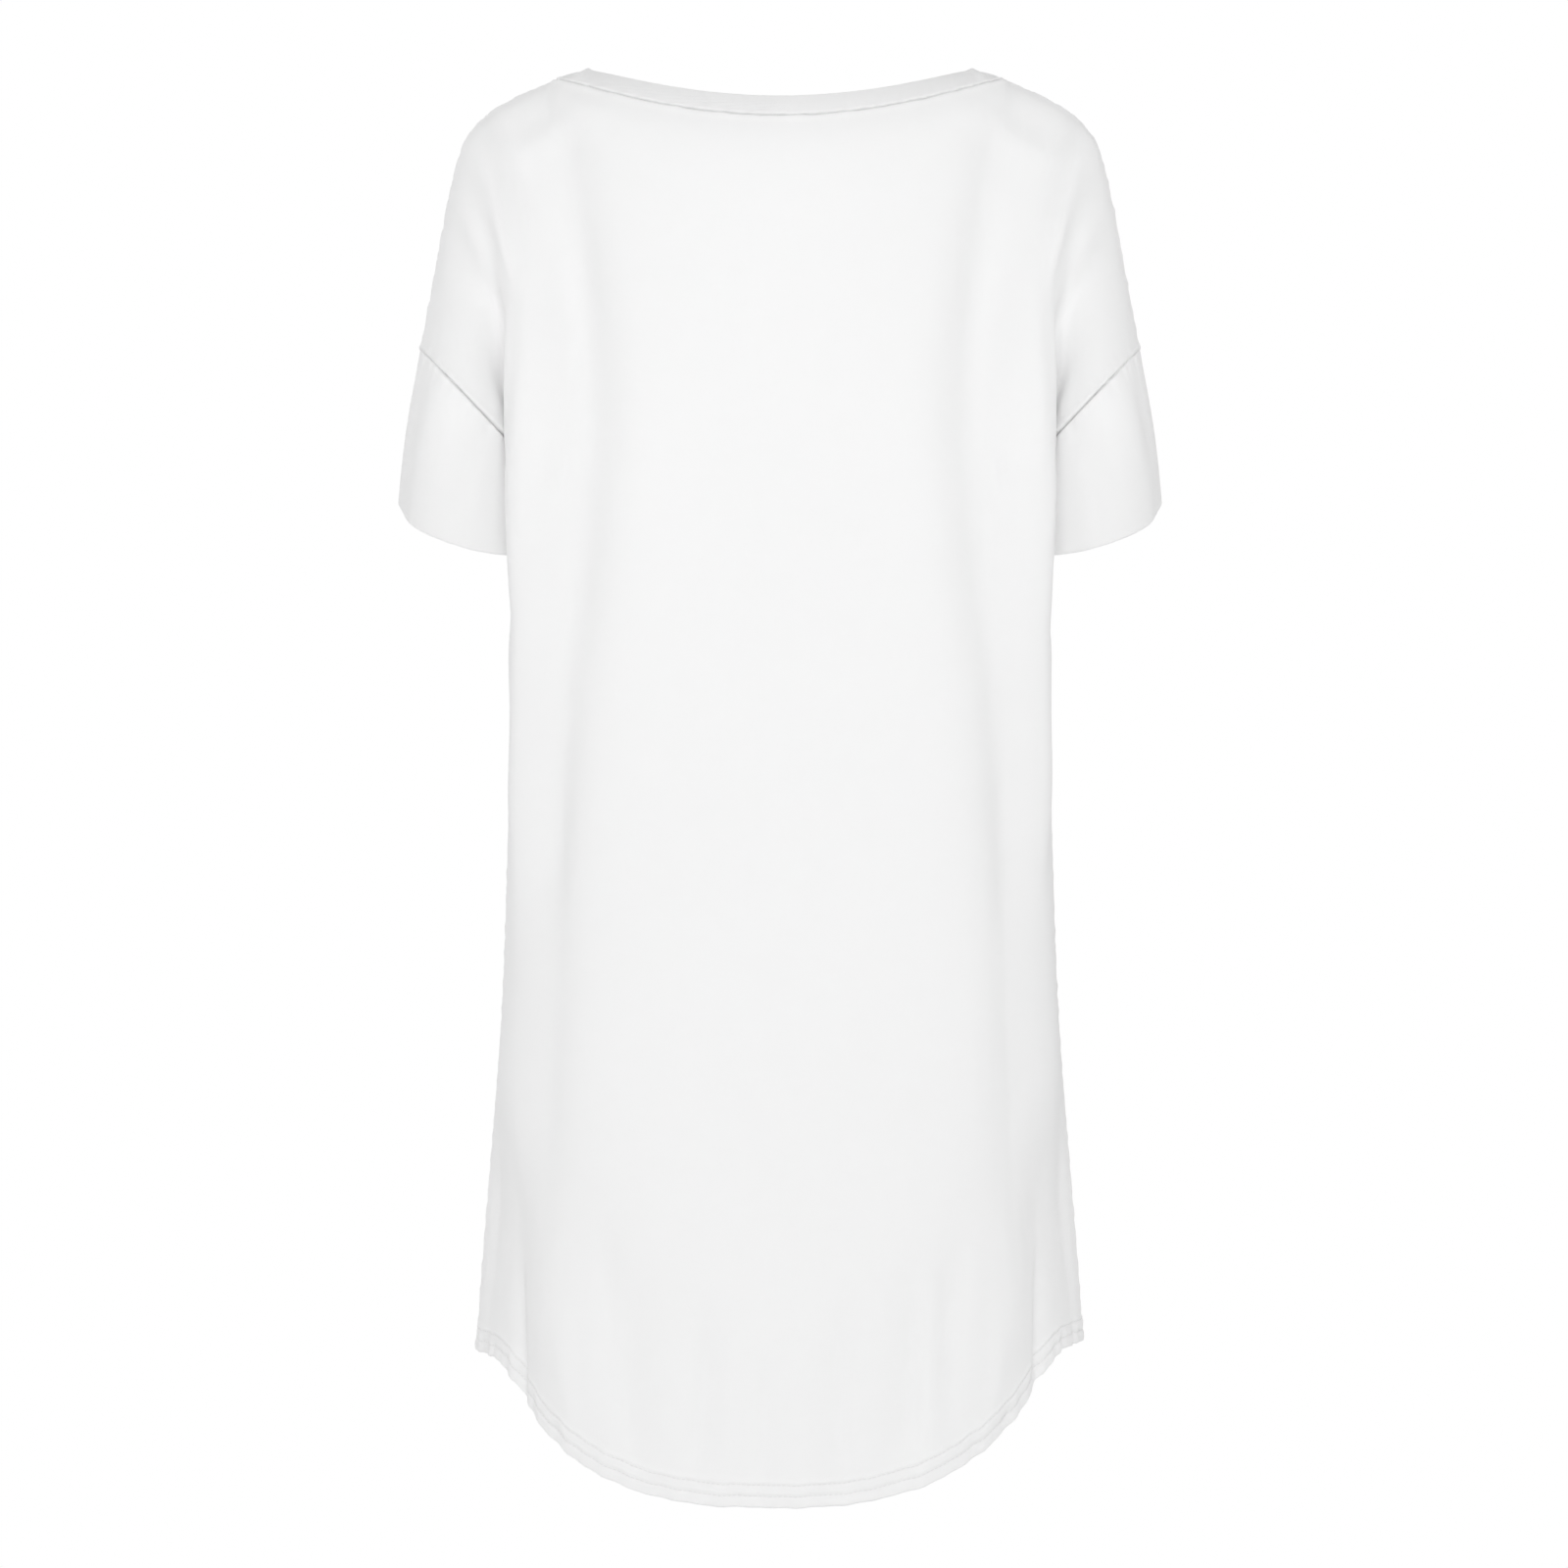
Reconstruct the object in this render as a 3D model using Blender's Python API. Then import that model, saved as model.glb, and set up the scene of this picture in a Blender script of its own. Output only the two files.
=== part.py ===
"""T-shirt dress in plain jersey, in its worn form with nobody in it.

Frame: metres, +Z up, +Y to the wearer's front, +X to the wearer's right.
The origin lies midway between the two high shoulder points, where the
wearer's shoulders carry the dress.

The body is a stack of rings, each split at the side seams into a back and a
front half. Above the underarm the rings open at the armholes, and the cloth
between the rings, the neckline, the shoulder line and the armholes takes the
form with the least bending. Each panel is a wall: an outer grid of points and
an inner one, set in along the normals.
"""

import bpy
import numpy as np

NAME = "tshirt_dress"
MM = 0.001

# Cloth
WALL = 1.5 * MM
HEM_WALL = 2.8 * MM
BAND_WALL = 2.1 * MM
SEAM_GAP = 0.3 * MM
JERSEY_COLOUR = (0.90, 0.90, 0.90, 1.0)
JERSEY_ROUGHNESS = 0.85

# Grid of one half panel: columns from the centre to the side, rows upwards
COLUMNS = 20
NECK_COLUMNS = 8
BODY_ROWS = 13
YOKE_ROWS = 12
SLEEVE_ROWS = 7
HEM_ROWS = 3

# Heights that the rings hang from
UNDERARM = -256 * MM
UNDERARM_DIP = 18 * MM
SIDE_Y = 8 * MM
HEM_CENTRE = -891 * MM
HEM_TURN_UP = 16 * MM
HEM_STEP = 1.5 * MM

# Each side's hem: height at the side seam, share that the curve reaches, its sharpness
HEM_LEFT = (-811 * MM, 0.775, 1.45)
HEM_RIGHT = (-805 * MM, 0.795, 1.33)

# Rings of the body below the underarm. Depths run from the side seam.
# height, half width, back depth, front depth, squareness, push of the arm on the side
RINGS = np.array([
    (-256, 176.0, 126.0, 104.0, 3.60, 24.0),
    (-300, 176.0, 126.5, 105.0, 3.40, 22.0),
    (-340, 173.2, 126.5, 105.0, 3.20, 6.0),
    (-400, 170.6, 126.0, 104.0, 3.05, 0.0),
    (-490, 171.8, 125.0, 102.0, 2.90, 0.0),
    (-600, 175.8, 127.0, 106.0, 2.75, 0.0),
    (-691, 182.8, 129.5, 112.0, 2.60, 0.0),
    (-784, 190.0, 132.5, 118.0, 2.45, 0.0),
    (-900, 196.5, 136.0, 123.0, 2.35, 0.0),
])
RINGS[:, [0, 1, 2, 3, 5]] *= MM
PUSH_START = 0.63
PUSH_END = 0.86

# Neckline: the seam of the band, and the band's free edge
# half width, height at the shoulder, y at the shoulder, at the back, in front, drop at the back, in front
NECK_SEAM = np.array((142.5, -6.8, 3, -76, 72, 32.7, 124.0)) * MM
NECK_EDGE = np.array((124.0, -1.4, 3, -65, 60, 24.8, 113.8)) * MM
BACK_NECK_CURVE = 2.0
FRONT_NECK_CURVE = 1.7
BAND_ROUND = 0.6 * MM

# Shoulder line from the neck seam to the top of the armhole: out, down
SHOULDER_LINE = np.array([
    (142.5, 6.8),
    (162.0, 15.0),
    (181.5, 25.5),
    (194.0, 38.5),
    (203.0, 55.0),
    (211.4, 88.0),
    (220.0, 135.0),
    (227.6, 178.0),
]) * MM
SHOULDER_Y = 3 * MM

# Armhole: a flat ellipse from the underarm point to the top point
ARMHOLE_TOP = np.array((227.6, 8, -178)) * MM
ARMHOLE_LOW = np.array((152, 8, -256)) * MM
ARMHOLE_BACK = 68 * MM
ARMHOLE_FRONT = 62 * MM

# Sleeve hem: an ellipse that is lower at the back and at the inner side
SLEEVE_HEM = np.array((197, 18, -286)) * MM
SLEEVE_OUT = 46 * MM
SLEEVE_IN = 37 * MM
SLEEVE_BACK = 60 * MM
SLEEVE_FRONT = 56 * MM
SLEEVE_EDGE = 1.5
SLEEVE_INNER = 0.72
SLEEVE_TILT_OUT = 0.256
SLEEVE_TILT_FRONT = 0.33

# Lines that the yoke keeps to: share of the rows, share of the columns, out, y, height.
# The corner is where the back turns to the side, the hollow is where the arm meets it.
CORNER = np.array([
    (0.17, 0.665, 168.3, -64, -232),
    (0.33, 0.665, 168.0, -65, -205),
    (0.50, 0.660, 168.3, -62, -172),
])
HOLLOW = np.array([
    (0.34, 0.900, 167.0, -50, -222),
    (0.42, 0.830, 167.5, -51, -200),
    (0.52, 0.770, 169.0, -51, -174),
    (0.62, 0.715, 173.0, -50, -148),
    (0.75, 0.672, 178.0, -46, -110),
])
for line in (CORNER, HOLLOW):
    line[:, 2:] *= MM
LINE_PULL = 2.0

# Soft folds of the body: share of the half width at the top and the bottom (+ is the
# wearer's right), height at the top and the bottom, half width, depth (- is a ridge)
BACK_FOLDS = np.array([
    (-0.46, -0.59, -90, -720, 24, 8.0),
    (0.46, 0.59, -90, -700, 24, 7.5),
    (-0.60, -0.72, -100, -560, 15, -4.0),
    (0.60, 0.72, -100, -560, 15, -4.0),
    (-0.50, -0.52, -620, -960, 24, 3.0),
    (0.50, 0.54, -600, -960, 24, 3.5),
    (-0.66, -0.63, -640, -990, 13, 8.0),
    (0.66, 0.63, -620, -990, 13, 8.0),
    (-0.26, -0.30, -700, -990, 16, 2.2),
    (0.20, 0.24, -760, -990, 18, 2.2),
    (0.36, 0.38, -700, -990, 14, -2.0),
])
FRONT_FOLDS = np.array([
    (-0.38, -0.44, -240, -660, 26, 4.0),
    (0.40, 0.45, -240, -700, 26, 4.5),
    (-0.60, -0.62, -230, -600, 16, -3.0),
    (0.60, 0.62, -230, -560, 16, -3.0),
    (-0.67, -0.64, -620, -990, 13, 7.5),
    (0.66, 0.63, -640, -990, 13, 8.0),
    (-0.20, -0.24, -620, -990, 22, 3.5),
    (0.26, 0.30, -560, -990, 22, 3.5),
    (0.04, 0.02, -700, -990, 18, -2.5),
])
for folds in (BACK_FOLDS, FRONT_FOLDS):
    folds[:, 2:] *= MM
FOLD_FADE = 110 * MM
FOLD_SIDE_CALM = 0.12
FOLD_TOP_CALM = 4
HALF_GIRTH = 265 * MM

# How the cloth is faired and finished
TWIST_PULL = 1.4
UNDERARM_FREE = 3
CURVE_SAMPLES = 400
CORNER_LIKENESS = 0.98
SHARP_ANGLE = np.radians(50)


def spline(knots, values, where):
    """Natural cubic through the values at the knots, read at every place in where."""
    step = np.diff(knots)
    slope = np.diff(values, axis=0) / step[:, None]
    count = len(knots)
    system = np.eye(count)
    right = np.zeros((count, values.shape[1]))
    for k in range(1, count - 1):
        system[k, k - 1:k + 2] = step[k - 1], 2 * (step[k - 1] + step[k]), step[k]
        right[k] = 6 * (slope[k] - slope[k - 1])
    bend = np.linalg.solve(system, right)
    where = np.asarray(where)
    k = np.clip(np.searchsorted(knots, where) - 1, 0, count - 2)
    h = step[k][..., None]
    a = (knots[k + 1] - where)[..., None] / h
    b = 1 - a
    straight = a * values[k] + b * values[k + 1]
    return straight + ((a**3 - a) * bend[k] + (b**3 - b) * bend[k + 1]) * h**2 / 6


def smooth_step(share):
    """Rises from 0 to 1 with level ends."""
    share = np.clip(share, 0, 1)
    return share * share * (3 - 2 * share)


def ring_points(across, height, back):
    """Points of the body's rings: a squared ellipse, pushed in at its side by the arm."""
    sizes = spline(-RINGS[:, 0], RINGS[:, 1:], -height)
    half_width, back_depth, front_depth, squareness, push = np.moveaxis(sizes, -1, 0)
    angle = across * np.pi / 2
    sine, cosine = np.sin(angle), np.abs(np.cos(angle))
    radius = (sine**squareness + cosine**squareness) ** (-1 / squareness)
    side = smooth_step((across - PUSH_START) / (PUSH_END - PUSH_START))
    depth = -back_depth if back else front_depth
    return np.stack([
        half_width * sine * radius - push * side,
        SIDE_Y + depth * cosine * radius,
        height,
    ], axis=-1)


def hem_height(across, side, reach, curve):
    """The shirt-tail hem: level near the side seam, lowest at the centre."""
    share = np.minimum(1, across**curve / reach)
    return side + (HEM_CENTRE - side) * (1 + np.cos(np.pi * share)) / 2


def underarm_height(across):
    """The highest full ring: level at the centre, it dips beside the underarm point.

    The hump share^2 (1 - share) is 4/27 high, so the factor 27/4 makes it one.
    """
    share = across**3
    return UNDERARM - UNDERARM_DIP * 27 / 4 * share**2 * (1 - share)


def neck_points(sizes, share, back):
    """A quarter of the neckline, from the centre (0) to the shoulder (1)."""
    half_width, top, shoulder_y, back_y, front_y, back_drop, front_drop = sizes
    sine, cosine = np.sin(share * np.pi / 2), np.abs(np.cos(share * np.pi / 2))
    centre_y = back_y if back else front_y
    drop = back_drop * cosine**BACK_NECK_CURVE
    if not back:
        drop = front_drop * cosine**FRONT_NECK_CURVE
    return np.stack([
        half_width * sine,
        shoulder_y + (centre_y - shoulder_y) * cosine,
        top - drop,
    ], axis=-1)


def shoulder_points(count):
    """The shoulder seam, from the neck seam to the armhole, in even steps."""
    knots = np.linspace(0, 1, len(SHOULDER_LINE))
    fine = spline(knots, SHOULDER_LINE, np.linspace(0, 1, CURVE_SAMPLES))
    length = np.append(0, np.cumsum(np.linalg.norm(np.diff(fine, axis=0), axis=1)))
    share = np.linspace(0, 1, count)
    out, down = (np.interp(share * length[-1], length, fine[:, k]) for k in (0, 1))
    y = SHOULDER_Y + (ARMHOLE_TOP[1] - SHOULDER_Y) * share
    return np.stack([out, y, -down], axis=-1)


def armhole_points(back):
    """Half of the armhole, from the underarm point (0) to the top point."""
    angle = np.linspace(0, np.pi, YOKE_ROWS + 1)[:, None]
    middle = (ARMHOLE_TOP + ARMHOLE_LOW) / 2
    half = (ARMHOLE_TOP - ARMHOLE_LOW) / 2
    bulge = -ARMHOLE_BACK if back else ARMHOLE_FRONT
    return middle - half * np.cos(angle) + np.array((0, bulge, 0)) * np.sin(angle)


def sleeve_hem_points(back):
    """Half of the sleeve's hem, from its inner side to its outer side."""
    angle = np.linspace(0, np.pi, YOKE_ROWS + 1)
    out = -np.cos(angle)
    front = np.abs(np.sin(angle)) ** np.where(out > 0, SLEEVE_EDGE, SLEEVE_INNER)
    out = out * np.where(out > 0, SLEEVE_OUT, SLEEVE_IN)
    front = front * (-SLEEVE_BACK if back else SLEEVE_FRONT)
    rise = SLEEVE_TILT_OUT * out + SLEEVE_TILT_FRONT * front
    return SLEEVE_HEM + np.stack([out, front, rise], axis=-1)


class Fairing:
    """Finds free points that bend the cloth least between the points that are given."""

    def __init__(self):
        self.points = []
        self.given = []
        self.terms = []

    def add(self, points, given):
        """Takes a grid of points and says which are given. It returns their numbers."""
        start = sum(map(len, self.points))
        self.points.append(points.reshape(-1, 3))
        self.given.append(np.broadcast_to(given, points.shape[:-1]).reshape(-1))
        return np.arange(start, start + points[..., 0].size).reshape(points.shape[:-1])

    def term(self, numbers, factors, target=(0, 0, 0), mirrored=0):
        """A sum of points times factors that should come close to the target."""
        self.terms.append((np.ravel(numbers), np.array(factors, float), target, mirrored))

    def bend(self, before, middle, after, wanted=np.zeros(3)):
        """Keeps the bend at each middle point near the wanted one, which is none at first."""
        wanted = np.broadcast_to(wanted, middle.shape + (3,)).reshape(-1, 3)
        for *trio, bend in zip(before.ravel(), middle.ravel(), after.ravel(), wanted):
            self.term(trio, (1, -2, 1), bend)

    def twist(self, grid):
        """Keeps the cells of a grid from twisting."""
        factors = np.array((1, -1, -1, 1)) * TWIST_PULL
        corners = grid[:-1, :-1], grid[1:, :-1], grid[:-1, 1:], grid[1:, 1:]
        for four in zip(*(corner.ravel() for corner in corners)):
            self.term(four, factors)

    def centre(self, edge, inner):
        """The mirrored half: across x = 0 the cloth runs on level."""
        for pair in zip(edge.ravel(), inner.ravel()):
            self.term(pair, (-2, 1), mirrored=1)

    def solve(self):
        """Least squares over all the terms, one axis at a time."""
        points = np.concatenate(self.points)
        given = np.concatenate(self.given)
        column = np.cumsum(~given) - 1
        for axis in range(3):
            system = np.zeros((len(self.terms), column[-1] + 1))
            right = np.zeros(len(self.terms))
            for row, (numbers, factors, target, mirrored) in enumerate(self.terms):
                factors = factors.copy()
                factors[1] += mirrored * (-1 if axis == 0 else 1)
                known = given[numbers]
                right[row] = target[axis] - factors[known] @ points[numbers[known], axis]
                np.add.at(system[row], column[numbers[~known]], factors[~known])
            points[~given, axis] = np.linalg.solve(system.T @ system, system.T @ right)
        return points


def yoke_edges(back):
    """One half of a yoke as a grid whose four edges are known and whose inside is free."""
    across = np.linspace(0, 1, COLUMNS + 1)
    grid = np.zeros((YOKE_ROWS + 1, COLUMNS + 1, 3))
    grid[0] = ring_points(across, underarm_height(across), back)
    neck = np.linspace(0, 1, NECK_COLUMNS + 1)
    grid[-1, :NECK_COLUMNS + 1] = neck_points(NECK_SEAM, neck, back)
    grid[-1, NECK_COLUMNS:] = shoulder_points(COLUMNS - NECK_COLUMNS + 1)
    grid[:, -1] = armhole_points(back)
    given = np.zeros(grid.shape[:2], bool)
    given[[0, -1]] = True
    given[:, -1] = True
    return grid, given


def keep_to_line(fairing, numbers, line, back):
    """Draws the yoke to the points of a line, each at its share of the rows and columns."""
    front_share = RINGS[0, 3] / RINGS[0, 2]
    for up, across, *place in line:
        if not back:
            place[1] = SIDE_Y + (SIDE_Y - place[1]) * front_share
        row = up * YOKE_ROWS
        column = across * COLUMNS
        r, c = int(row), int(column)
        a, b = row - r, column - c
        factors = np.array(((1 - a) * (1 - b), (1 - a) * b, a * (1 - b), a * b))
        corners = numbers[[r, r, r + 1, r + 1], [c, c + 1, c, c + 1]]
        fairing.term(corners, LINE_PULL * factors, LINE_PULL * np.array(place))


def relaxed_cloth():
    """The right-hand half: the yoke of the back and of the front, and the sleeve."""
    fairing = Fairing()
    across = np.linspace(0, 1, COLUMNS + 1)
    neck = np.linspace(0, 1, NECK_COLUMNS + 1)
    row_step = (NECK_SEAM[1] - NECK_SEAM[5] - UNDERARM) / YOKE_ROWS
    yokes = []
    for back in (True, False):
        grid, given = yoke_edges(back)
        numbers = fairing.add(grid, given)
        below = ring_points(across, underarm_height(across) - row_step, back)
        below = fairing.add(below, True)
        band = fairing.add(neck_points(NECK_EDGE, neck, back), True)
        fairing.bend(numbers[:-2], numbers[1:-1], numbers[2:])
        fairing.bend(numbers[:, :-2], numbers[:, 1:-1], numbers[:, 2:])
        fairing.bend(below[:-1], numbers[0, :-1], numbers[1, :-1])
        fairing.bend(numbers[-2, :len(band)], numbers[-1, :len(band)], band)
        fairing.centre(numbers[:, 0], numbers[:, 1])
        fairing.twist(numbers)
        keep_to_line(fairing, numbers, CORNER, back)
        keep_to_line(fairing, numbers, HOLLOW, back)
        yokes.append(numbers)
    back, front = yokes
    seam = slice(NECK_COLUMNS, None)
    fairing.bend(back[-2, seam], back[-1, seam], front[-2, seam])

    top = closed_ring(armhole_points(True), armhole_points(False))
    hem = closed_ring(sleeve_hem_points(True), sleeve_hem_points(False))
    share = np.linspace(0, 1, SLEEVE_ROWS + 1)[:, None, None]
    given = np.zeros((SLEEVE_ROWS + 1, len(top)), bool)
    given[[0, -1]] = True
    sleeve = fairing.add(top + (hem - top) * share, given)
    fairing.bend(sleeve[:-2], sleeve[1:-1], sleeve[2:])
    top_bend, hem_bend = (np.roll(r, 1, 0) - 2 * r + np.roll(r, -1, 0) for r in (top, hem))
    round_bend = top_bend + (hem_bend - top_bend) * share
    fairing.bend(np.roll(sleeve, 1, 1), sleeve, np.roll(sleeve, -1, 1), round_bend)
    inside = closed_ring(back[:, -2], front[:, -2])
    away_from_underarm = slice(UNDERARM_FREE + 1, -UNDERARM_FREE)
    fairing.bend(
        inside[away_from_underarm],
        sleeve[0, away_from_underarm],
        sleeve[1, away_from_underarm],
    )
    points = fairing.solve()
    return points[back], points[front], points[sleeve]


def closed_ring(back, front):
    """Joins a back half and a front half, which share both their end points."""
    return np.concatenate([back, front[-2:0:-1]])


def body_half(back, hem_sizes):
    """One half of a panel below the yoke, from the hem up to the highest full ring."""
    across = np.linspace(0, 1, COLUMNS + 1)
    hem = hem_height(across, *hem_sizes)
    turn_up = hem + HEM_TURN_UP
    start = turn_up + HEM_STEP
    rows = [hem, hem + HEM_TURN_UP / 2, turn_up]
    for share in np.linspace(0, 1, BODY_ROWS - HEM_ROWS + 1)[:-1]:
        rows.append(start + (underarm_height(across) - start) * share)
    height = np.array(rows)
    return ring_points(np.broadcast_to(across, height.shape), height, back)


def whole_panel(back, yoke):
    """Both halves of a panel. Each half's first column is the centre."""
    right = body_half(back, HEM_RIGHT)
    left = body_half(back, HEM_LEFT)
    right, left = (np.concatenate([body, yoke]) for body in (right, left))
    return np.concatenate([left[:, :0:-1] * (-1, 1, 1), right], axis=1)


def grid_normals(grid, closed):
    """Unit normals from the differences along the rows and along the columns."""
    if closed:
        along = np.roll(grid, -1, 1) - np.roll(grid, 1, 1)
    else:
        along = np.gradient(grid, axis=1)
    normals = np.cross(along, np.gradient(grid, axis=0))
    return normals / np.linalg.norm(normals, axis=-1, keepdims=True)


def fold_depths(grid, folds):
    """How far each point is pushed in by the soft folds that run down the panel."""
    across = np.linspace(-1, 1, grid.shape[1])
    height = grid[..., 2]
    depth = np.zeros(height.shape)
    for top_share, low_share, top, low, half_width, fold_depth in folds:
        down = np.clip((top - height) / (top - low), 0, 1)
        middle = top_share + (low_share - top_share) * down
        away = (across - middle) * HALF_GIRTH / half_width
        fade = smooth_step((top - height) / FOLD_FADE) * smooth_step((height - low) / FOLD_FADE)
        depth += fold_depth * fade * np.exp(-away * away)
    return depth


def folded(grid, folds):
    """Pushes the folds into a panel. They fade out before its seams."""
    across = np.abs(np.linspace(-1, 1, grid.shape[1]))
    calm = smooth_step((1 - across) / FOLD_SIDE_CALM)
    rows_left = np.arange(grid.shape[0])[::-1, None]
    depth = fold_depths(grid, folds) * calm * smooth_step(rows_left / FOLD_TOP_CALM)
    return grid - grid_normals(grid, False) * depth[..., None]


def grid_cells(shape, closed):
    """Four point numbers for each cell of a grid, counter-clockwise from outside."""
    number = np.arange(shape[0] * shape[1]).reshape(shape[:2])
    if closed:
        number = np.concatenate([number, number[:, :1]], axis=1)
    corners = number[:-1, :-1], number[:-1, 1:], number[1:, 1:], number[1:, :-1]
    return np.stack(corners, axis=-1).reshape(-1, 4), number


def shared_normals(pieces):
    """Normals at every point, weighted by the angles of the cells that meet there.

    Points of two pieces that lie together at a seam share one normal.
    """
    sizes = [grid[..., 0].size for grid, _ in pieces.values()]
    starts = np.cumsum([0] + sizes)
    places = np.concatenate([grid.reshape(-1, 3) for grid, _ in pieces.values()])
    cells = [
        grid_cells(grid.shape, closed)[0] + start
        for (grid, closed), start in zip(pieces.values(), starts)
    ]
    cells = np.concatenate(cells)
    _, group = np.unique(np.round(places, 6), axis=0, return_inverse=True)
    group = group.reshape(-1)
    total = np.zeros((group.max() + 1, 3))
    for k in range(4):
        here, following, before = cells[:, k], cells[:, (k + 1) % 4], cells[:, k - 1]
        one, other = places[following] - places[here], places[before] - places[here]
        normal = np.cross(one, other)
        size = np.linalg.norm(normal, axis=1)
        angle = np.arctan2(size, np.sum(one * other, axis=1))
        np.add.at(total, group[here], normal * (angle / size)[:, None])
    total = total[group]
    total /= np.linalg.norm(total, axis=1, keepdims=True)
    parts = np.split(total, starts[1:-1])
    return {name: part.reshape(pieces[name][0].shape) for name, part in zip(pieces, parts)}


def edge_loop(shape, closed):
    """Row and column of each point round a grid's edge, counter-clockwise."""
    rows, columns = shape
    if closed:
        return [(0, c) for c in range(columns)]
    loop = [(0, c) for c in range(columns - 1)]
    loop += [(r, columns - 1) for r in range(rows - 1)]
    loop += [(rows - 1, c) for c in range(columns - 1, 0, -1)]
    return loop + [(r, 0) for r in range(rows - 1, 0, -1)]


def seam_allowance(grid, normals, closed):
    """How each point moves so that every sewn edge draws back by half the seam gap."""
    loop = edge_loop(grid.shape[:2], closed)
    rows, columns = np.array(loop).T
    place, normal = grid[rows, columns], normals[rows, columns]
    following = np.roll(place, -1, 0)
    tangent = following - place
    inward = np.cross(normal + np.roll(normal, -1, 0), tangent)
    inward /= np.linalg.norm(inward, axis=1, keepdims=True)
    sewn = np.full(len(loop), SEAM_GAP / 2)
    if not closed:
        sewn[:grid.shape[1] - 1] = 0
    before, gap_before = np.roll(inward, 1, 0), np.roll(sewn, 1)
    likeness = np.sum(inward * before, axis=1)
    corner = likeness < CORNER_LIKENESS
    bottom = np.where(corner, 1 - likeness**2, 1)
    move = (sewn - gap_before * likeness)[:, None] * inward
    move += (gap_before - sewn * likeness)[:, None] * before
    plain = (inward + before) * np.minimum(sewn, gap_before)[:, None] / (1 + likeness)[:, None]
    moves = np.zeros(grid.shape)
    moves[rows, columns] = np.where(corner[:, None], move / bottom[:, None], plain)
    return moves


def material(name):
    """Plain matt jersey."""
    cloth = bpy.data.materials.new(name)
    cloth.use_nodes = True
    shader = cloth.node_tree.nodes["Principled BSDF"]
    shader.inputs["Base Color"].default_value = JERSEY_COLOUR
    shader.inputs["Roughness"].default_value = JERSEY_ROUGHNESS
    shader.inputs["Metallic"].default_value = 0.0
    return cloth


def rim_triangles(points, start, end, lift):
    """The rim between the walls along an edge, each cell split towards its higher inner point.

    The piece on the other side of a seam then splits its own rim in the same way.
    """
    falls = points[start, 2] > points[end, 2]
    far = np.where(falls, start + lift, end + lift)
    near = np.where(falls, end, start)
    first = np.stack([end, start, far], axis=-1)
    return np.concatenate([first, np.stack([near, start + lift, end + lift], axis=-1)])


def wall_triangles(points, cells):
    """The cells of an outer grid, each split on its more level diagonal."""
    first, second, third, fourth = points[cells, 2].T
    one = np.abs(first - third)
    other = np.abs(second - fourth)
    turned = np.where((other < one)[:, None], np.roll(cells, -1, axis=1), cells)
    return np.concatenate([turned[:, [0, 1, 2]], turned[:, [0, 2, 3]]])


def wall_object(name, outer, inner, closed, collection):
    """A closed wall between two grids. A closed grid's last column meets its first."""
    cells, number = grid_cells(outer.shape, closed)
    lift = outer[..., 0].size
    points = np.concatenate([outer.reshape(-1, 3), inner.reshape(-1, 3)])
    triangles = wall_triangles(points, cells)
    faces = triangles.tolist() + (triangles[:, ::-1] + lift).tolist()
    edges = [(number[0, :-1], number[0, 1:]), (number[-1, 1:], number[-1, :-1])]
    if not closed:
        edges += [(number[:-1, -1], number[1:, -1]), (number[1:, 0], number[:-1, 0])]
    for start, end in edges:
        faces += rim_triangles(points, start, end, lift).tolist()
    mesh = bpy.data.meshes.new(name)
    mesh.from_pydata(points.tolist(), [], faces)
    mesh.shade_smooth()
    mesh.set_sharp_from_angle(angle=SHARP_ANGLE)
    mesh.materials.append(material(name + "_jersey"))
    piece = bpy.data.objects.new(name, mesh)
    collection.objects.link(piece)
    return piece


def wall_thickness(name, rows):
    """Wall of each row: doubled where a hem is turned up and where the band is folded."""
    wall = np.full(rows, WALL)
    if name in ("back", "front"):
        wall[:HEM_ROWS] = HEM_WALL
    if name == "neckband":
        wall[1:] = BAND_WALL
    return wall[:, None, None]


def neckband():
    """The band from its seam to its free edge, all round the neck."""
    share = np.linspace(0, 1, NECK_COLUMNS + 1)
    rings = []
    for sizes in (NECK_SEAM, NECK_EDGE):
        back = neck_points(sizes, share, True)
        front = neck_points(sizes, share, False)
        right = np.concatenate([back, front[-2::-1]])
        left = right[-2:0:-1] * (-1, 1, 1)
        rings.append(np.concatenate([right, left]))
    seam, edge = rings
    middle = (seam + edge) / 2
    band = np.array([seam, middle, edge])
    band[1] += grid_normals(band, True)[1] * BAND_ROUND
    return band


def reversed_ring(grid):
    """The same rings run the other way round, so that the cloth faces out."""
    return np.roll(grid[:, ::-1], 1, 1)


def build():
    for old in list(bpy.data.objects):
        bpy.data.objects.remove(old, do_unlink=True)
    collection = bpy.data.collections.new(NAME)
    bpy.context.scene.collection.children.link(collection)

    back_yoke, front_yoke, sleeve = relaxed_cloth()
    back = whole_panel(True, back_yoke)
    front = whole_panel(False, front_yoke)[:, ::-1]
    # The front's columns run from the wearer's right to the left, so its shares change sign.
    front_folds = FRONT_FOLDS * (-1, -1, 1, 1, 1, 1)
    pieces = {
        "back": (folded(back, BACK_FOLDS), False),
        "front": (folded(front, front_folds), False),
        "sleeve_right": (reversed_ring(sleeve), True),
        "sleeve_left": (sleeve * (-1, 1, 1), True),
        "neckband": (neckband(), True),
    }
    normals = shared_normals(pieces)
    for name, (outer, closed) in pieces.items():
        inner = outer - normals[name] * wall_thickness(name, len(outer))
        moves = seam_allowance(outer, normals[name], closed)
        wall_object(name, outer + moves, inner + moves, closed, collection)


build()
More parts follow.
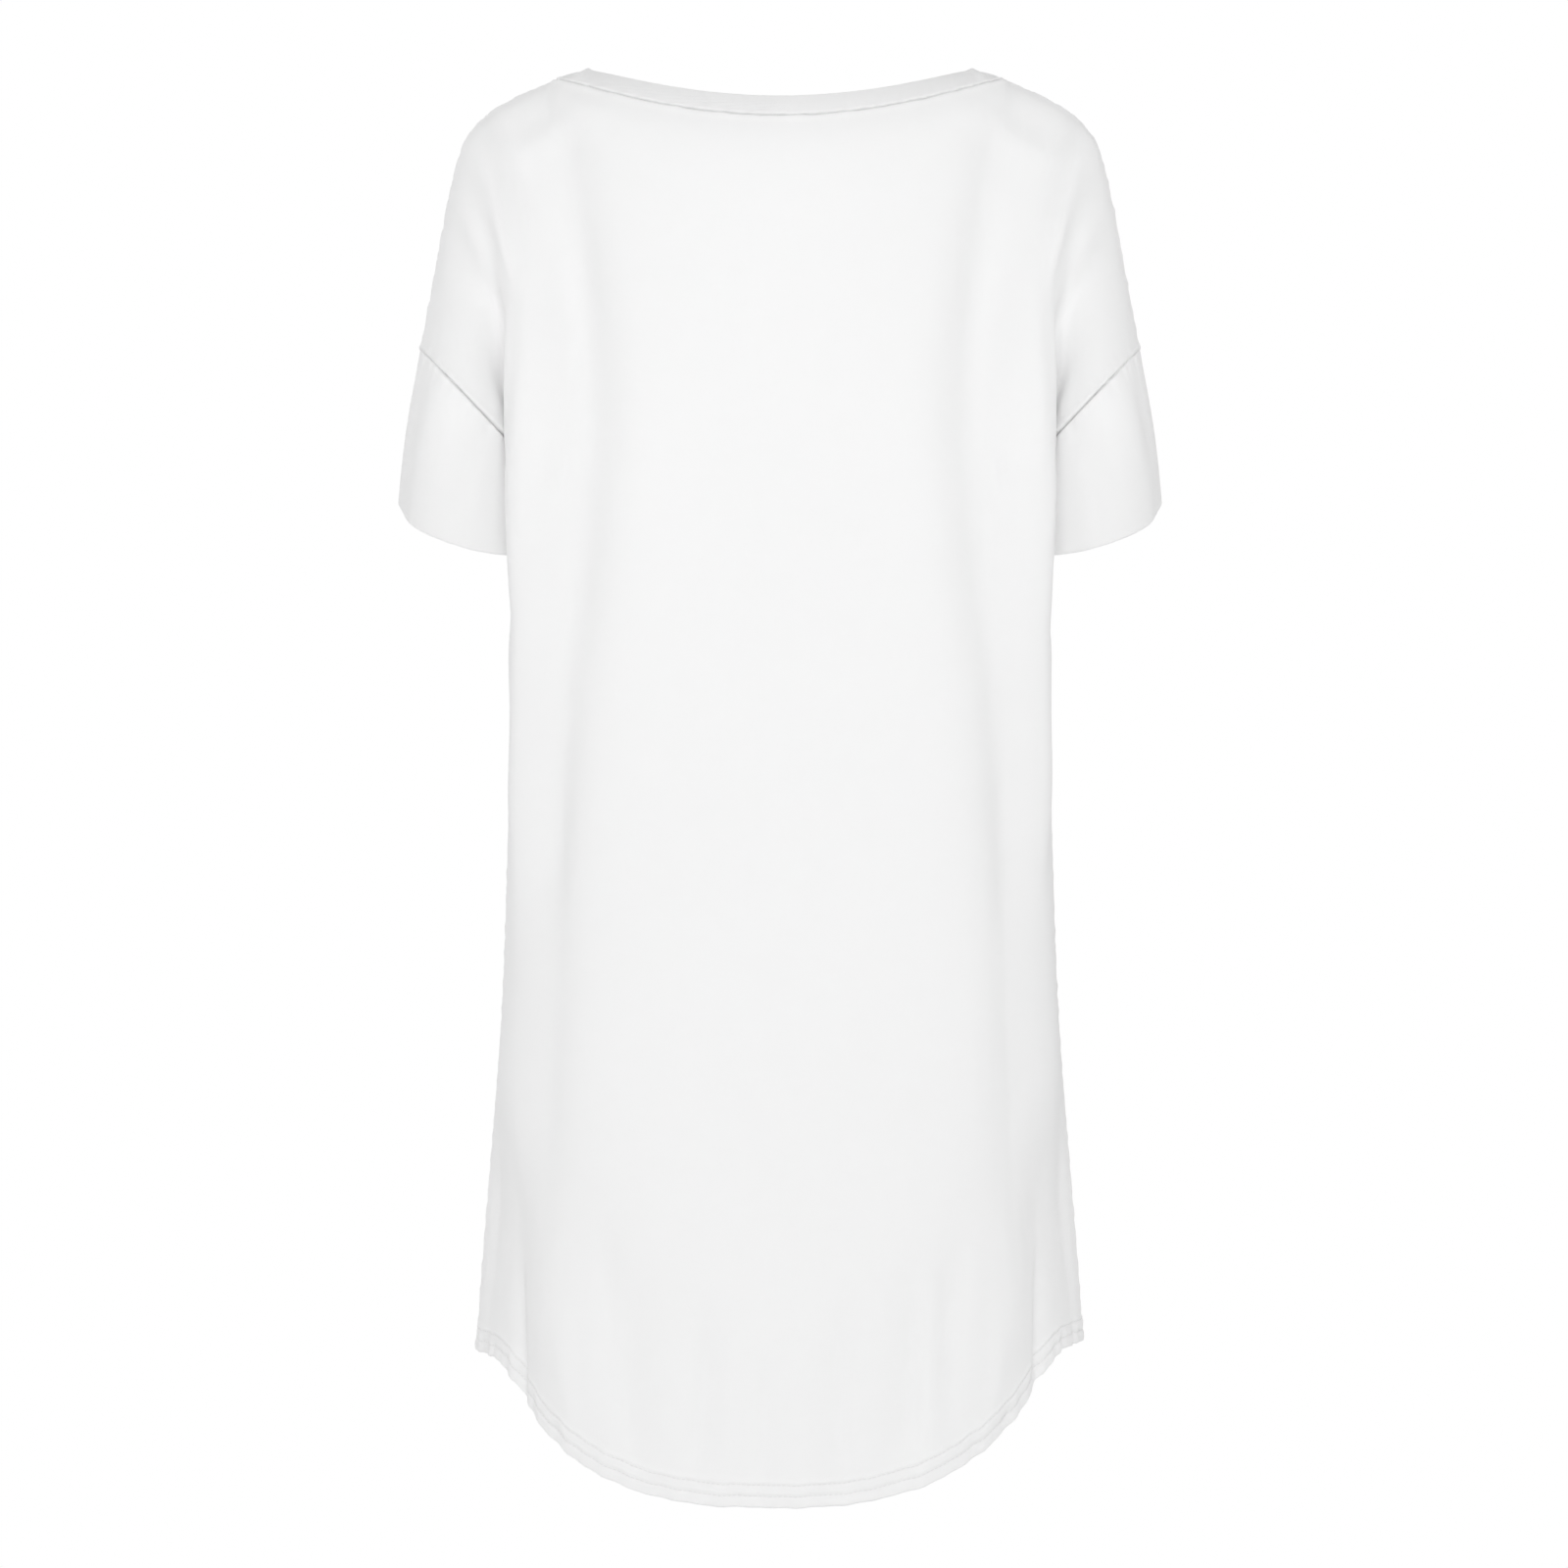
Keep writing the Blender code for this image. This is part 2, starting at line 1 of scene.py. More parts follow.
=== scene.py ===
"""A t-shirt dress in plain white jersey, in its worn form with nobody in it.

Each cut piece is a thin sheet on a grid: rows run up the piece and columns run across it.
Lengths are metres. +Z is up, +Y the wearer's front and +X the wearer's right.
"""

import bpy
import numpy as np
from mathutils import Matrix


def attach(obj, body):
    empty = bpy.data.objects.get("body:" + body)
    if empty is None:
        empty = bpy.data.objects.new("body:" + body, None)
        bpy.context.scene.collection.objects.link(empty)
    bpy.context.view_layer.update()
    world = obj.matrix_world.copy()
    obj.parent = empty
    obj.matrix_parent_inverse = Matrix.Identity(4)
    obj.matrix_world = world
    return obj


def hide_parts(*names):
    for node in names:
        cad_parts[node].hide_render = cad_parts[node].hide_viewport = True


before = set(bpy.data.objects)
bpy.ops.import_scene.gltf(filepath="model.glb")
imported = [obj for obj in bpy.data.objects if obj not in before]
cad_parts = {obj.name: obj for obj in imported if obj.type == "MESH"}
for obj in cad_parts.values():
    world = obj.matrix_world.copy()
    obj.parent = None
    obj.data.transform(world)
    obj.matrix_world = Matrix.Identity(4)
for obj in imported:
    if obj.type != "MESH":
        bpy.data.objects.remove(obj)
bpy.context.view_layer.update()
MM = 0.001
BODY = "root"

# ---- cut of the dress

COLUMNS = 20
NECK_COLUMNS = 8
YOKE_ROWS = 12
SLEEVE_ROWS = 7
NECK_SHARE = NECK_COLUMNS / COLUMNS

UNDERARM = -256 * MM
UNDERARM_DIP = 18 * MM
SIDE_Y = 8 * MM
HEM_CENTRE = -891 * MM
# Each side's hem: height at the side seam, share that the curve reaches, its sharpness
HEM_LEFT = np.array((-811 * MM, 0.775, 1.45))
HEM_RIGHT = np.array((-805 * MM, 0.795, 1.33))
HALF_GIRTH = 265 * MM

# Rings of the body below the underarm. Depths run from the side seam.
# height, half width, back depth, front depth, squareness, push of the arm on the side
RINGS = np.array([
    (-256, 176.0, 126.0, 104.0, 3.60, 24.0),
    (-300, 176.0, 126.5, 105.0, 3.40, 22.0),
    (-340, 173.2, 126.5, 105.0, 3.20, 6.0),
    (-400, 170.6, 126.0, 104.0, 3.05, 0.0),
    (-490, 171.8, 125.0, 102.0, 2.90, 0.0),
    (-600, 175.8, 127.0, 106.0, 2.75, 0.0),
    (-691, 182.8, 129.5, 112.0, 2.60, 0.0),
    (-784, 190.0, 132.5, 118.0, 2.45, 0.0),
    (-900, 196.5, 136.0, 123.0, 2.35, 0.0),
])
RINGS[:, [0, 1, 2, 3, 5]] *= MM
PUSH_START = 0.63
PUSH_END = 0.86

# Neckline: half width, height at the shoulder, y at the shoulder, at the back, in front,
# drop at the back, in front
NECK_SEAM = np.array((142.5, -6.8, 3, -76, 72, 32.7, 124.0)) * MM
NECK_EDGE = np.array((124.0, -1.4, 3, -65, 60, 24.8, 113.8)) * MM
BACK_NECK_CURVE = 2.0
FRONT_NECK_CURVE = 1.7
BAND_ROUND = 0.35 * MM

# Shoulder line from the neck seam to the top of the armhole: out, down
SHOULDER_LINE = np.array([
    (142.5, 6.8),
    (162.0, 15.0),
    (181.5, 25.5),
    (194.0, 38.5),
    (203.0, 55.0),
    (211.4, 88.0),
    (220.0, 135.0),
    (227.6, 178.0),
]) * MM
SHOULDER_Y = 3 * MM

ARMHOLE_TOP = np.array((227.6, 8, -178)) * MM
ARMHOLE_LOW = np.array((152, 8, -256)) * MM
ARMHOLE_BACK = 68 * MM
ARMHOLE_FRONT = 62 * MM

SLEEVE_HEM = np.array((197, 18, -286)) * MM
SLEEVE_OUT = 46 * MM
SLEEVE_IN = 37 * MM
SLEEVE_BACK = 60 * MM
SLEEVE_FRONT = 56 * MM
SLEEVE_EDGE = 1.5
SLEEVE_INNER = 0.72
SLEEVE_TILT_OUT = 0.256
SLEEVE_TILT_FRONT = 0.33

# Lines that the yoke keeps to: share of the rows, share of the columns, out, y, height
CORNER = np.array([
    (0.17, 0.665, 168.3, -64, -232),
    (0.33, 0.665, 168.0, -65, -205),
    (0.50, 0.660, 168.3, -62, -172),
])
HOLLOW = np.array([
    (0.34, 0.900, 167.0, -50, -222),
    (0.42, 0.830, 167.5, -51, -200),
    (0.52, 0.770, 169.0, -51, -174),
    (0.62, 0.715, 173.0, -50, -148),
    (0.75, 0.672, 178.0, -46, -110),
])
for line in (CORNER, HOLLOW):
    line[:, 2:] *= MM
# Weights of these lines and of the twist of the cloth, next to 1 for its bend
LINE_PULL = 2.0
TWIST_PULL = 1.4
# Points on each side of the underarm point where the sleeve may turn sharply
UNDERARM_FREE = 3
CURVE_SAMPLES = 400

# ---- folds and creases

# Soft folds down the body: share of the half width at the top and the bottom (+ is the
# wearer's right), height at the top and the bottom, half width on the left and the right
# side of the fold, depth (- is a ridge)
BACK_FOLDS = np.array([
    (-0.35, -0.59, -50, -570, 26, 22, 11.5),
    (0.35, 0.59, -50, -560, 22, 26, 10.5),
    (-0.52, -0.76, -110, -560, 17, 17, -5.0),
    (0.53, 0.76, -110, -540, 17, 17, -5.0),
    (-0.28, -0.47, 50, -400, 40, 19, 8.5),
    (0.28, 0.47, 50, -400, 19, 40, 8.5),
    (-0.44, -0.50, 60, -270, 40, 40, 4.5),
    (0.44, 0.50, 60, -270, 40, 40, 4.5),
    (-0.545, -0.555, -440, -800, 40, 22, 7.5),
    (0.545, 0.56, -430, -800, 22, 40, 7.5),
    (-0.81, -0.48, -630, -990, 74, 38, 13.0),
    (0.80, 0.48, -620, -990, 38, 74, 13.0),
    (-0.44, -0.38, -640, -990, 20, 26, 3.5),
    (0.46, 0.40, -620, -990, 26, 20, 3.5),
    (-0.24, -0.28, -700, -990, 13, 18, 2.8),
    (0.20, 0.24, -740, -990, 18, 14, 2.6),
    (0.02, 0.03, -780, -990, 20, 20, -1.6),
])
FRONT_FOLDS = np.array([
    (-0.34, -0.56, -240, -700, 26, 26, 8.0),
    (0.36, 0.58, -240, -720, 26, 26, 8.5),
    (-0.56, -0.72, -230, -600, 17, 17, -4.5),
    (0.57, 0.73, -230, -560, 17, 17, -4.5),
    (-0.80, -0.45, -630, -990, 74, 27, 12.0),
    (0.81, 0.45, -640, -990, 27, 74, 12.0),
    (-0.20, -0.24, -620, -990, 22, 22, 4.0),
    (0.26, 0.30, -560, -990, 22, 22, 4.0),
    (0.04, 0.02, -700, -990, 18, 18, -2.5),
])
for folds in (BACK_FOLDS, FRONT_FOLDS):
    folds[:, 2:] *= MM
FOLD_FADE = 110 * MM
# Towards the side edges and the top edge they fade out, over this share of the half width
# and this many rows of the yoke
FOLD_SIDE_CALM = 0.12
FOLD_TOP_CALM = 4

# Small creases: out and height of the start, out and height of the end, bow to the side,
# half width on the left and the right side of the crease, depth (- is a ridge). Out is
# measured round the body from the centre.
BACK_CREASES = np.array([
    (-146, -10, -167, -156, 1, 15, 7, -7.0),
    (147, -10, 169, -158, -1, 7, 15, -6.8),
    (-130, -20, -138, -136, 1, 7, 12, 2.2),
    (131, -20, 144, -136, -1, 12, 7, 2.1),
    (-178, -70, -210, -168, 1, 7, 6, -2.8),
    (180, -74, 218, -184, -1, 6, 7, -2.8),
    (-172, -130, -197, -300, 0, 15, 14, -5.0),
    (172, -130, 197, -300, 0, 14, 15, -5.0),
    (-186, -110, -247, -245, 2, 8, 8, 7.5),
    (188, -110, 249, -248, -2, 8, 8, 7.5),
    (-192, -92, -242, -250, 2, 18, 12, 4.5),
    (194, -92, 244, -254, -2, 12, 18, 4.5),
    (-44, -28, -158, -68, -3, 11, 11, -3.4),
    (46, -29, 160, -70, 3, 11, 11, -3.2),
    (-128, -238, -139, -286, 2, 5, 5, 2.4),
    (128, -240, 137, -284, -2, 5, 5, 2.0),
    (-100, -700, -92, -870, 4, 9, 9, 4.0),
    (-76, -724, -78, -896, -4, 7, 9, 4.4),
    (-44, -748, -48, -904, 4, 10, 8, 4.4),
    (34, -752, 38, -904, -4, 8, 10, 3.8),
    (70, -724, 66, -896, 4, 9, 7, 4.4),
    (100, -712, 92, -876, -4, 9, 9, 4.0),
    (-10, -790, -14, -912, 3, 8, 8, 3.2),
    (-124, -760, -112, -870, -4, 8, 8, -2.0),
    (126, -770, 112, -868, 4, 8, 8, -2.0),
    (-181, -736, -161, -866, 2, 13, 4, 3.4),
    (182, -730, 161, -862, -2, 4, 13, 3.6),
    (-230, -300, -170, -372, 8, 8, 8, 1.2),
    (232, -304, 176, -380, -8, 8, 8, 1.2),
    (-236, -420, -196, -520, 8, 10, 10, 1.2),
    (234, -430, 198, -540, -8, 10, 10, 1.2),
])
FRONT_CREASES = np.array([
    (-146, -10, -156, -136, 1, 7, 6, -4.0),
    (146, -12, 158, -140, -1, 6, 7, -4.0),
    (-166, -92, -190, -250, 0, 15, 14, -5.5),
    (166, -90, 190, -250, 0, 14, 15, -5.5),
    (-186, -90, -228, -214, 2, 11, 11, 5.0),
    (186, -92, 228, -220, -2, 11, 11, 5.0),
    (-120, -70, -100, -170, 5, 12, 12, 2.0),
    (122, -66, 96, -160, -6, 13, 13, 2.1),
    (-216, -262, -150, -330, 10, 9, 9, 2.0),
    (214, -266, 146, -322, -10, 9, 9, 2.0),
    (-226, -300, -160, -400, 12, 10, 10, 1.8),
    (228, -306, 166, -420, -12, 11, 11, 1.8),
    (-40, -150, -60, -230, -4, 10, 10, 1.2),
    (36, -152, 52, -240, 4, 10, 10, 1.2),
    (-96, -710, -90, -856, 4, 9, 9, 1.9),
    (-60, -740, -66, -868, 5, 8, 8, 2.0),
    (14, -770, 20, -880, -4, 8, 8, 1.6),
    (90, -720, 84, -860, 5, 9, 9, 2.1),
    (-118, -760, -108, -846, -4, 8, 8, -1.4),
    (-181, -730, -157, -862, 2, 7, 4, 3.8),
    (182, -750, 158, -866, -2, 4, 7, 3.8),
])
# The same on a sleeve: out is measured round it from the underarm, height up from its hem
SLEEVE_CREASES = np.array([
    (128, -70, 120, 130, 0, 18, 24, -3.5),
    (50, -70, 54, 90, 0, 12, 19, -7.0),
    (58, -20, 64, 84, 3, 8, 8, 1.5),
    (80, -30, 88, 90, -3, 9, 7, 1.6),
    (102, -20, 98, 96, 3, 7, 7, 1.2),
    (152, 20, 150, 110, 5, 12, 12, 1.2),
    (200, 6, 192, 100, -5, 9, 9, 1.4),
    (232, -20, 222, 76, 5, 8, 8, 1.4),
    (262, -20, 250, 56, -4, 7, 7, -1.2),
])
# The same on the neckband by each shoulder: out is measured backwards from the shoulder seam,
# height down from the free edge
BAND_CREASES = np.array([
    (2, -8, 26, 22, 1, 2.5, 2.5, 2.0),
    (9, -10, 38, 20, 1, 2.5, 2.5, -1.4),
    (-6, -6, 12, 24, 1, 2.5, 2.5, 1.7),
    (-12, -8, -30, 20, -1, 3, 3, 0.9),
])
BAND_CREASE_CALM = 3 * MM
for creases in (BACK_CREASES, FRONT_CREASES, SLEEVE_CREASES, BAND_CREASES):
    creases *= MM
# Share of a crease's length that it takes to fade in, and again to fade out
CREASE_FADE = 0.4
CREASE_SIDE_CALM = 0.04
CREASE_TOP_CALM = 1.8

# ---- cloth and sewing

CLOTH = 0.8 * MM
SIDE_COLUMNS = 92
BODY_ROWS = 104
FINE_YOKE_ROWS = 74
# Rows under the yoke that its splines start from
START_ROWS = 2
SLEEVE_FINE_ROWS = 46
SLEEVE_COLUMNS = 192
# Columns of the coarse sleeve that its splines have once more past each end
SLEEVE_WRAP = 4
BAND_COLUMNS = 288
# Rows across the middle of the neckband, and rows of CUFF_RISES by its free edge
BAND_ROWS = 11
BAND_EDGE_ROWS = 5

# Rows and columns lie closer together beside a seam, at these distances from it
SEAM_STEPS = np.array((0, 0.35, 0.7, 1.2, 2.0, 3.2, 5.0)) * MM
# Height of one of the YOKE_ROWS beside the top seam
YOKE_ROW = 18 * MM

# A seam: a ditch along it, and a ridge over the allowance at some distance from it
SEAM_DITCH = 2.0 * MM
SEAM_DITCH_WIDTH = 0.65 * MM
SEAM_RIDGE = 0.5 * MM
SEAM_RIDGE_PLACE = 2.8 * MM
SEAM_RIDGE_WIDTH = 1.7 * MM
SIDE_RIDGE_SHARE = 1.6
UNDERARM_RIDGE_SHARE = 0.5
# At its top, over the arm, the armhole seam has only this share of the ditch. The share
# grows to one over this length along the seam.
FLAT_SEAM = 0.12
FLAT_SEAM_LENGTH = 115 * MM
# This close to a seam the cloth rolls down into its ditch, and painted shade darkens its colour
# there
PAINTED_SHADE_WIDTH = 0.6 * MM
# Fine puckers beside it. These waves and those of the hem are sines: length, phase.
PUCKER = 0.3 * MM
PUCKER_REACH = 6 * MM
PUCKER_WAVES = np.array([(7.3, 0.4), (11.9, 2.1), (17.7, 4.0)]) * (MM, 1)

# The turned-up hem: its height, the half circle of its fold with the sines at its rows,
# and the heights of its two rows of stitches
HEM_TURN_UP = 16 * MM
FOLD_RADIUS = 0.95 * MM
FOLD_SINES = np.sin(np.radians((90, 60, 30, 0)))
UPPER_STITCH = 13.6 * MM
LOWER_STITCH = 7.0 * MM
STITCH_GROOVE = 0.6 * MM
STITCH_GROOVE_WIDTH = 0.55 * MM
HEM_RIPPLE = 0.4 * MM
HEM_RIPPLE_FADE = HEM_TURN_UP / 1.5
HEM_WAVES = np.array([(13.0, 0.3), (21.5, 1.7), (37.0, 4.4)]) * (MM, 1)
HEM_WAVER = 0.15 * MM
HEM_LIP = 0.5 * MM
HEM_LIP_STEP = 2 * MM
# Heights of the first rows of a panel and of a cuff: four on the round of the fold, then
# those above it, closer together at a panel's stitches
HEM_RISES = np.concatenate([
    FOLD_RADIUS * (1 - FOLD_SINES),
    np.array((2.4, 4.6, 6.2, 7.0, 7.8, 9.5, 11.2, 12.8, 13.6, 14.4, 15.4, 16.2, 17.4, 20, 24)) * MM,
])
CUFF_RISES = np.concatenate([
    FOLD_RADIUS * (1 - FOLD_SINES),
    np.array((2.4, 4.4, 6.6, 9.0, 11.0, 12.0, 13.4)) * MM,
])
CUFF_TURN_ROWS = 10
HEM_TURN_ROWS = 16

STITCH_PITCH = 3.1 * MM
STITCH_LENGTH = 2.7 * MM
THREAD = 0.24 * MM
STITCH_SIDES = 6
STITCH_RINGS = np.array((-0.5, -0.32, 0.0, 0.32, 0.5))
# Over the thread's radius: how far a stitch's middle lies over its ends, how deep its ends
# lie, and the radius of its tips
STITCH_RISE = 1.6
STITCH_SINK = 0.7
STITCH_TIP = 0.45

ALLOWANCE_DEPTH = 6 * MM
ALLOWANCE_HALF = 0.85 * MM
# Its section, over half its thickness and over its depth
ALLOWANCE_ASIDE = np.array((-0.6, 0.6, 1, 1, 0.6, -0.6, -1, -1))[:, None]
ALLOWANCE_INWARD = np.array((0, 0, 0.1, 0.9, 1, 1, 0.9, 0.1))[:, None]


def spline(knots, values, where):
    """Natural cubic through the values at the knots, read at every place in where."""
    step = np.diff(knots)
    slope = np.diff(values, axis=0) / step[:, None]
    count = len(knots)
    system = np.eye(count)
    inner = np.arange(1, count - 1)
    system[inner, inner - 1] = step[:-1]
    system[inner, inner] = 2 * (step[:-1] + step[1:])
    system[inner, inner + 1] = step[1:]
    right = np.zeros((count, values.shape[1]))
    right[1:-1] = 6 * np.diff(slope, axis=0)
    bend = np.linalg.solve(system, right)
    k = np.clip(np.searchsorted(knots, where) - 1, 0, count - 2)
    h = step[k][..., None]
    a = (knots[k + 1] - where)[..., None] / h
    b = 1 - a
    straight = a * values[k] + b * values[k + 1]
    return straight + ((a**3 - a) * bend[k] + (b**3 - b) * bend[k + 1]) * h**2 / 6


def smooth_step(share):
    """Rises from 0 to 1 with level ends."""
    share = np.clip(share, 0, 1)
    return share * share * (3 - 2 * share)


def bell(distance, width):
    """1 at no distance, and falls off on both sides as a bell of that width."""
    return np.exp(-(distance / width) ** 2)


def unit(vectors):
    """The same directions with a length of one."""
    return vectors / np.linalg.norm(vectors, axis=-1, keepdims=True)


def lengths_along(path):
    """Length of a path from its start to each of its points."""
    steps = np.linalg.norm(np.diff(path, axis=0), axis=-1)
    return np.concatenate([np.zeros((1, *steps.shape[1:])), np.cumsum(steps, axis=0)])


def wrapped(grid):
    """A closed grid with its first column once more at its end."""
    return np.concatenate([grid, grid[:, :1]], axis=1)


def cell_corners(grid):
    """The four corners of each cell of a grid, in their order round it."""
    return np.stack([grid[:-1, :-1], grid[:-1, 1:], grid[1:, 1:], grid[1:, :-1]], axis=2)


# ---- form of the worn dress


def ring_points(across, height, back):
    """Points of the body's rings: a squared ellipse, pushed in at its side by the arm."""
    sizes = spline(-RINGS[:, 0], RINGS[:, 1:], -height)
    half_width, back_depth, front_depth, squareness, push = np.moveaxis(sizes, -1, 0)
    angle = across * np.pi / 2
    sine, cosine = np.sin(angle), np.abs(np.cos(angle))
    radius = (sine**squareness + cosine**squareness) ** (-1 / squareness)
    side = smooth_step((across - PUSH_START) / (PUSH_END - PUSH_START))
    depth = -back_depth if back else front_depth
    return np.stack([
        half_width * sine * radius - push * side,
        SIDE_Y + depth * cosine * radius,
        height,
    ], axis=-1)


def hem_height(across, side, reach, curve):
    """The shirt-tail hem: level near the side seam, then a cosine down to the centre."""
    share = np.minimum(1, across**curve / reach)
    return side + (HEM_CENTRE - side) * (1 + np.cos(np.pi * share)) / 2


def underarm_height(across):
    """The highest full ring: level at the centre, it dips beside the underarm point.

    The hump share^2 (1 - share) is 4/27 high, so the factor 27/4 makes it one. Its share
    is the cube of that across, which moves the dip towards the side.
    """
    share = across**3
    return UNDERARM - UNDERARM_DIP * 27 / 4 * share**2 * (1 - share)


def neck_points(sizes, share, back):
    """A quarter of the neckline, an ellipse from the centre (0) to the shoulder (1).

    It drops by a power of the cosine.
    """
    half_width, top, shoulder_y, back_y, front_y, back_drop, front_drop = sizes
    sine, cosine = np.sin(share * np.pi / 2), np.abs(np.cos(share * np.pi / 2))
    centre_y = back_y if back else front_y
    drop = back_drop * cosine**BACK_NECK_CURVE
    if not back:
        drop = front_drop * cosine**FRONT_NECK_CURVE
    return np.stack([
        half_width * sine,
        shoulder_y + (centre_y - shoulder_y) * cosine,
        top - drop,
    ], axis=-1)


def shoulder_points(share):
    """The shoulder seam, at each share of its length from the neck seam to the armhole."""
    knots = np.linspace(0, 1, len(SHOULDER_LINE))
    fine = spline(knots, SHOULDER_LINE, np.linspace(0, 1, CURVE_SAMPLES))
    length = lengths_along(fine)
    out, down = (np.interp(share * length[-1], length, fine[:, k]) for k in (0, 1))
    y = SHOULDER_Y + (ARMHOLE_TOP[1] - SHOULDER_Y) * share
    return np.stack([out, y, -down], axis=-1)


def armhole_points(share, back):
    """Half of the armhole, a flat half ellipse from the underarm point (0) to the top (1)."""
    angle = np.pi * share[..., None]
    middle = (ARMHOLE_TOP + ARMHOLE_LOW) / 2
    half = (ARMHOLE_TOP - ARMHOLE_LOW) / 2
    bulge = -ARMHOLE_BACK if back else ARMHOLE_FRONT
    return middle - half * np.cos(angle) + np.array((0, bulge, 0)) * np.sin(angle)


def sleeve_hem_points(share, back):
    """Half of the sleeve's hem, a tilted half ellipse from its inner to its outer side.

    Its depth is a power of the sine: SLEEVE_EDGE outside and SLEEVE_INNER inside.
    """
    angle = np.pi * share
    out = -np.cos(angle)
    front = np.abs(np.sin(angle)) ** np.where(out > 0, SLEEVE_EDGE, SLEEVE_INNER)
    out = out * np.where(out > 0, SLEEVE_OUT, SLEEVE_IN)
    front = front * (-SLEEVE_BACK if back else SLEEVE_FRONT)
    rise = SLEEVE_TILT_OUT * out + SLEEVE_TILT_FRONT * front
    return SLEEVE_HEM + np.stack([out, front, rise], axis=-1)


class Fairing:
    """Finds free points that bend the cloth least between the points that are given.

    Each term takes some points times their factors and wants the sum close to a target.
    The squares of what is left are made least, one axis at a time.
    """

    def __init__(self):
        self.points = []
        self.given = []
        self.terms = []

    def add(self, points, given):
        """Takes a grid of points and says which are given. It returns their numbers."""
        start = sum(map(len, self.points))
        self.points.append(points.reshape(-1, 3))
        self.given.append(np.broadcast_to(given, points.shape[:-1]).reshape(-1))
        return np.arange(start, start + points[..., 0].size).reshape(points.shape[:-1])

    def term(self, numbers, factors, target=0.0):
        """Numbers are terms by points. Factors may differ between the three axes."""
        factors = np.broadcast_to(factors, (3, *numbers.shape))
        self.terms.append((numbers, factors, np.broadcast_to(target, (len(numbers), 3))))

    def bend(self, before, middle, after, wanted=0.0):
        """Keeps the bend at each middle point near the wanted one, or else near none."""
        numbers = np.stack([before.ravel(), middle.ravel(), after.ravel()], axis=1)
        wanted = np.broadcast_to(wanted, middle.shape + (3,)).reshape(-1, 3)
        self.term(numbers, np.array((1.0, -2.0, 1.0)), wanted)

    def twist(self, grid):
        """Keeps the cells of a grid from twisting."""
        self.term(cell_corners(grid).reshape(-1, 4), np.array((1, -1, 1, -1)) * TWIST_PULL)

    def centre(self, edge, inner):
        """The mirrored half: across x = 0 the cloth runs on level."""
        factors = np.array(((-2.0, 0.0), (-2.0, 2.0), (-2.0, 2.0)))[:, None]
        self.term(np.stack([edge, inner], axis=1), factors)

    def solve(self):
        """Least squares: the normal equations of all the terms, solved for each axis."""
        points = np.concatenate(self.points)
        given = np.concatenate(self.given)
        column = np.cumsum(~given) - 1
        for axis in range(3):
            blocks, rights = [], []
            for numbers, factors, target in self.terms:
                known = given[numbers]
                row = np.broadcast_to(np.arange(len(numbers))[:, None], numbers.shape)
                block = np.zeros((len(numbers), column[-1] + 1))
                place = row[~known], column[numbers[~known]]
                np.add.at(block, place, factors[axis][~known])
                fixed = np.where(known, factors[axis] * points[numbers, axis], 0)
                blocks.append(block)
                rights.append(target[:, axis] - fixed.sum(axis=1))
            system, right = np.concatenate(blocks), np.concatenate(rights)
            points[~given, axis] = np.linalg.solve(system.T @ system, system.T @ right)
        return points


def keep_to_line(fairing, numbers, line, back):
    """Draws the yoke to the points of a line, each at its share of the rows and columns.

    In front the line is mirrored and as much shallower as the front ring is.
    """
    place = line[:, 2:].copy()
    if not back:
        place[:, 1] = SIDE_Y + (SIDE_Y - place[:, 1]) * RINGS[0, 3] / RINGS[0, 2]
    row, column = line[:, 0] * YOKE_ROWS, line[:, 1] * COLUMNS
    r, c = row.astype(int), column.astype(int)
    a, b = row - r, column - c
    factors = np.stack([(1 - a) * (1 - b), (1 - a) * b, a * (1 - b), a * b], axis=1)
    corners = numbers[r, c], numbers[r, c + 1], numbers[r + 1, c], numbers[r + 1, c + 1]
    fairing.term(np.stack(corners, axis=1), LINE_PULL * factors, LINE_PULL * place)


def closed_ring(back, front):
    """Joins a back half and a front half, which share both their end points."""
    return np.concatenate([back, front[-2:0:-1]])


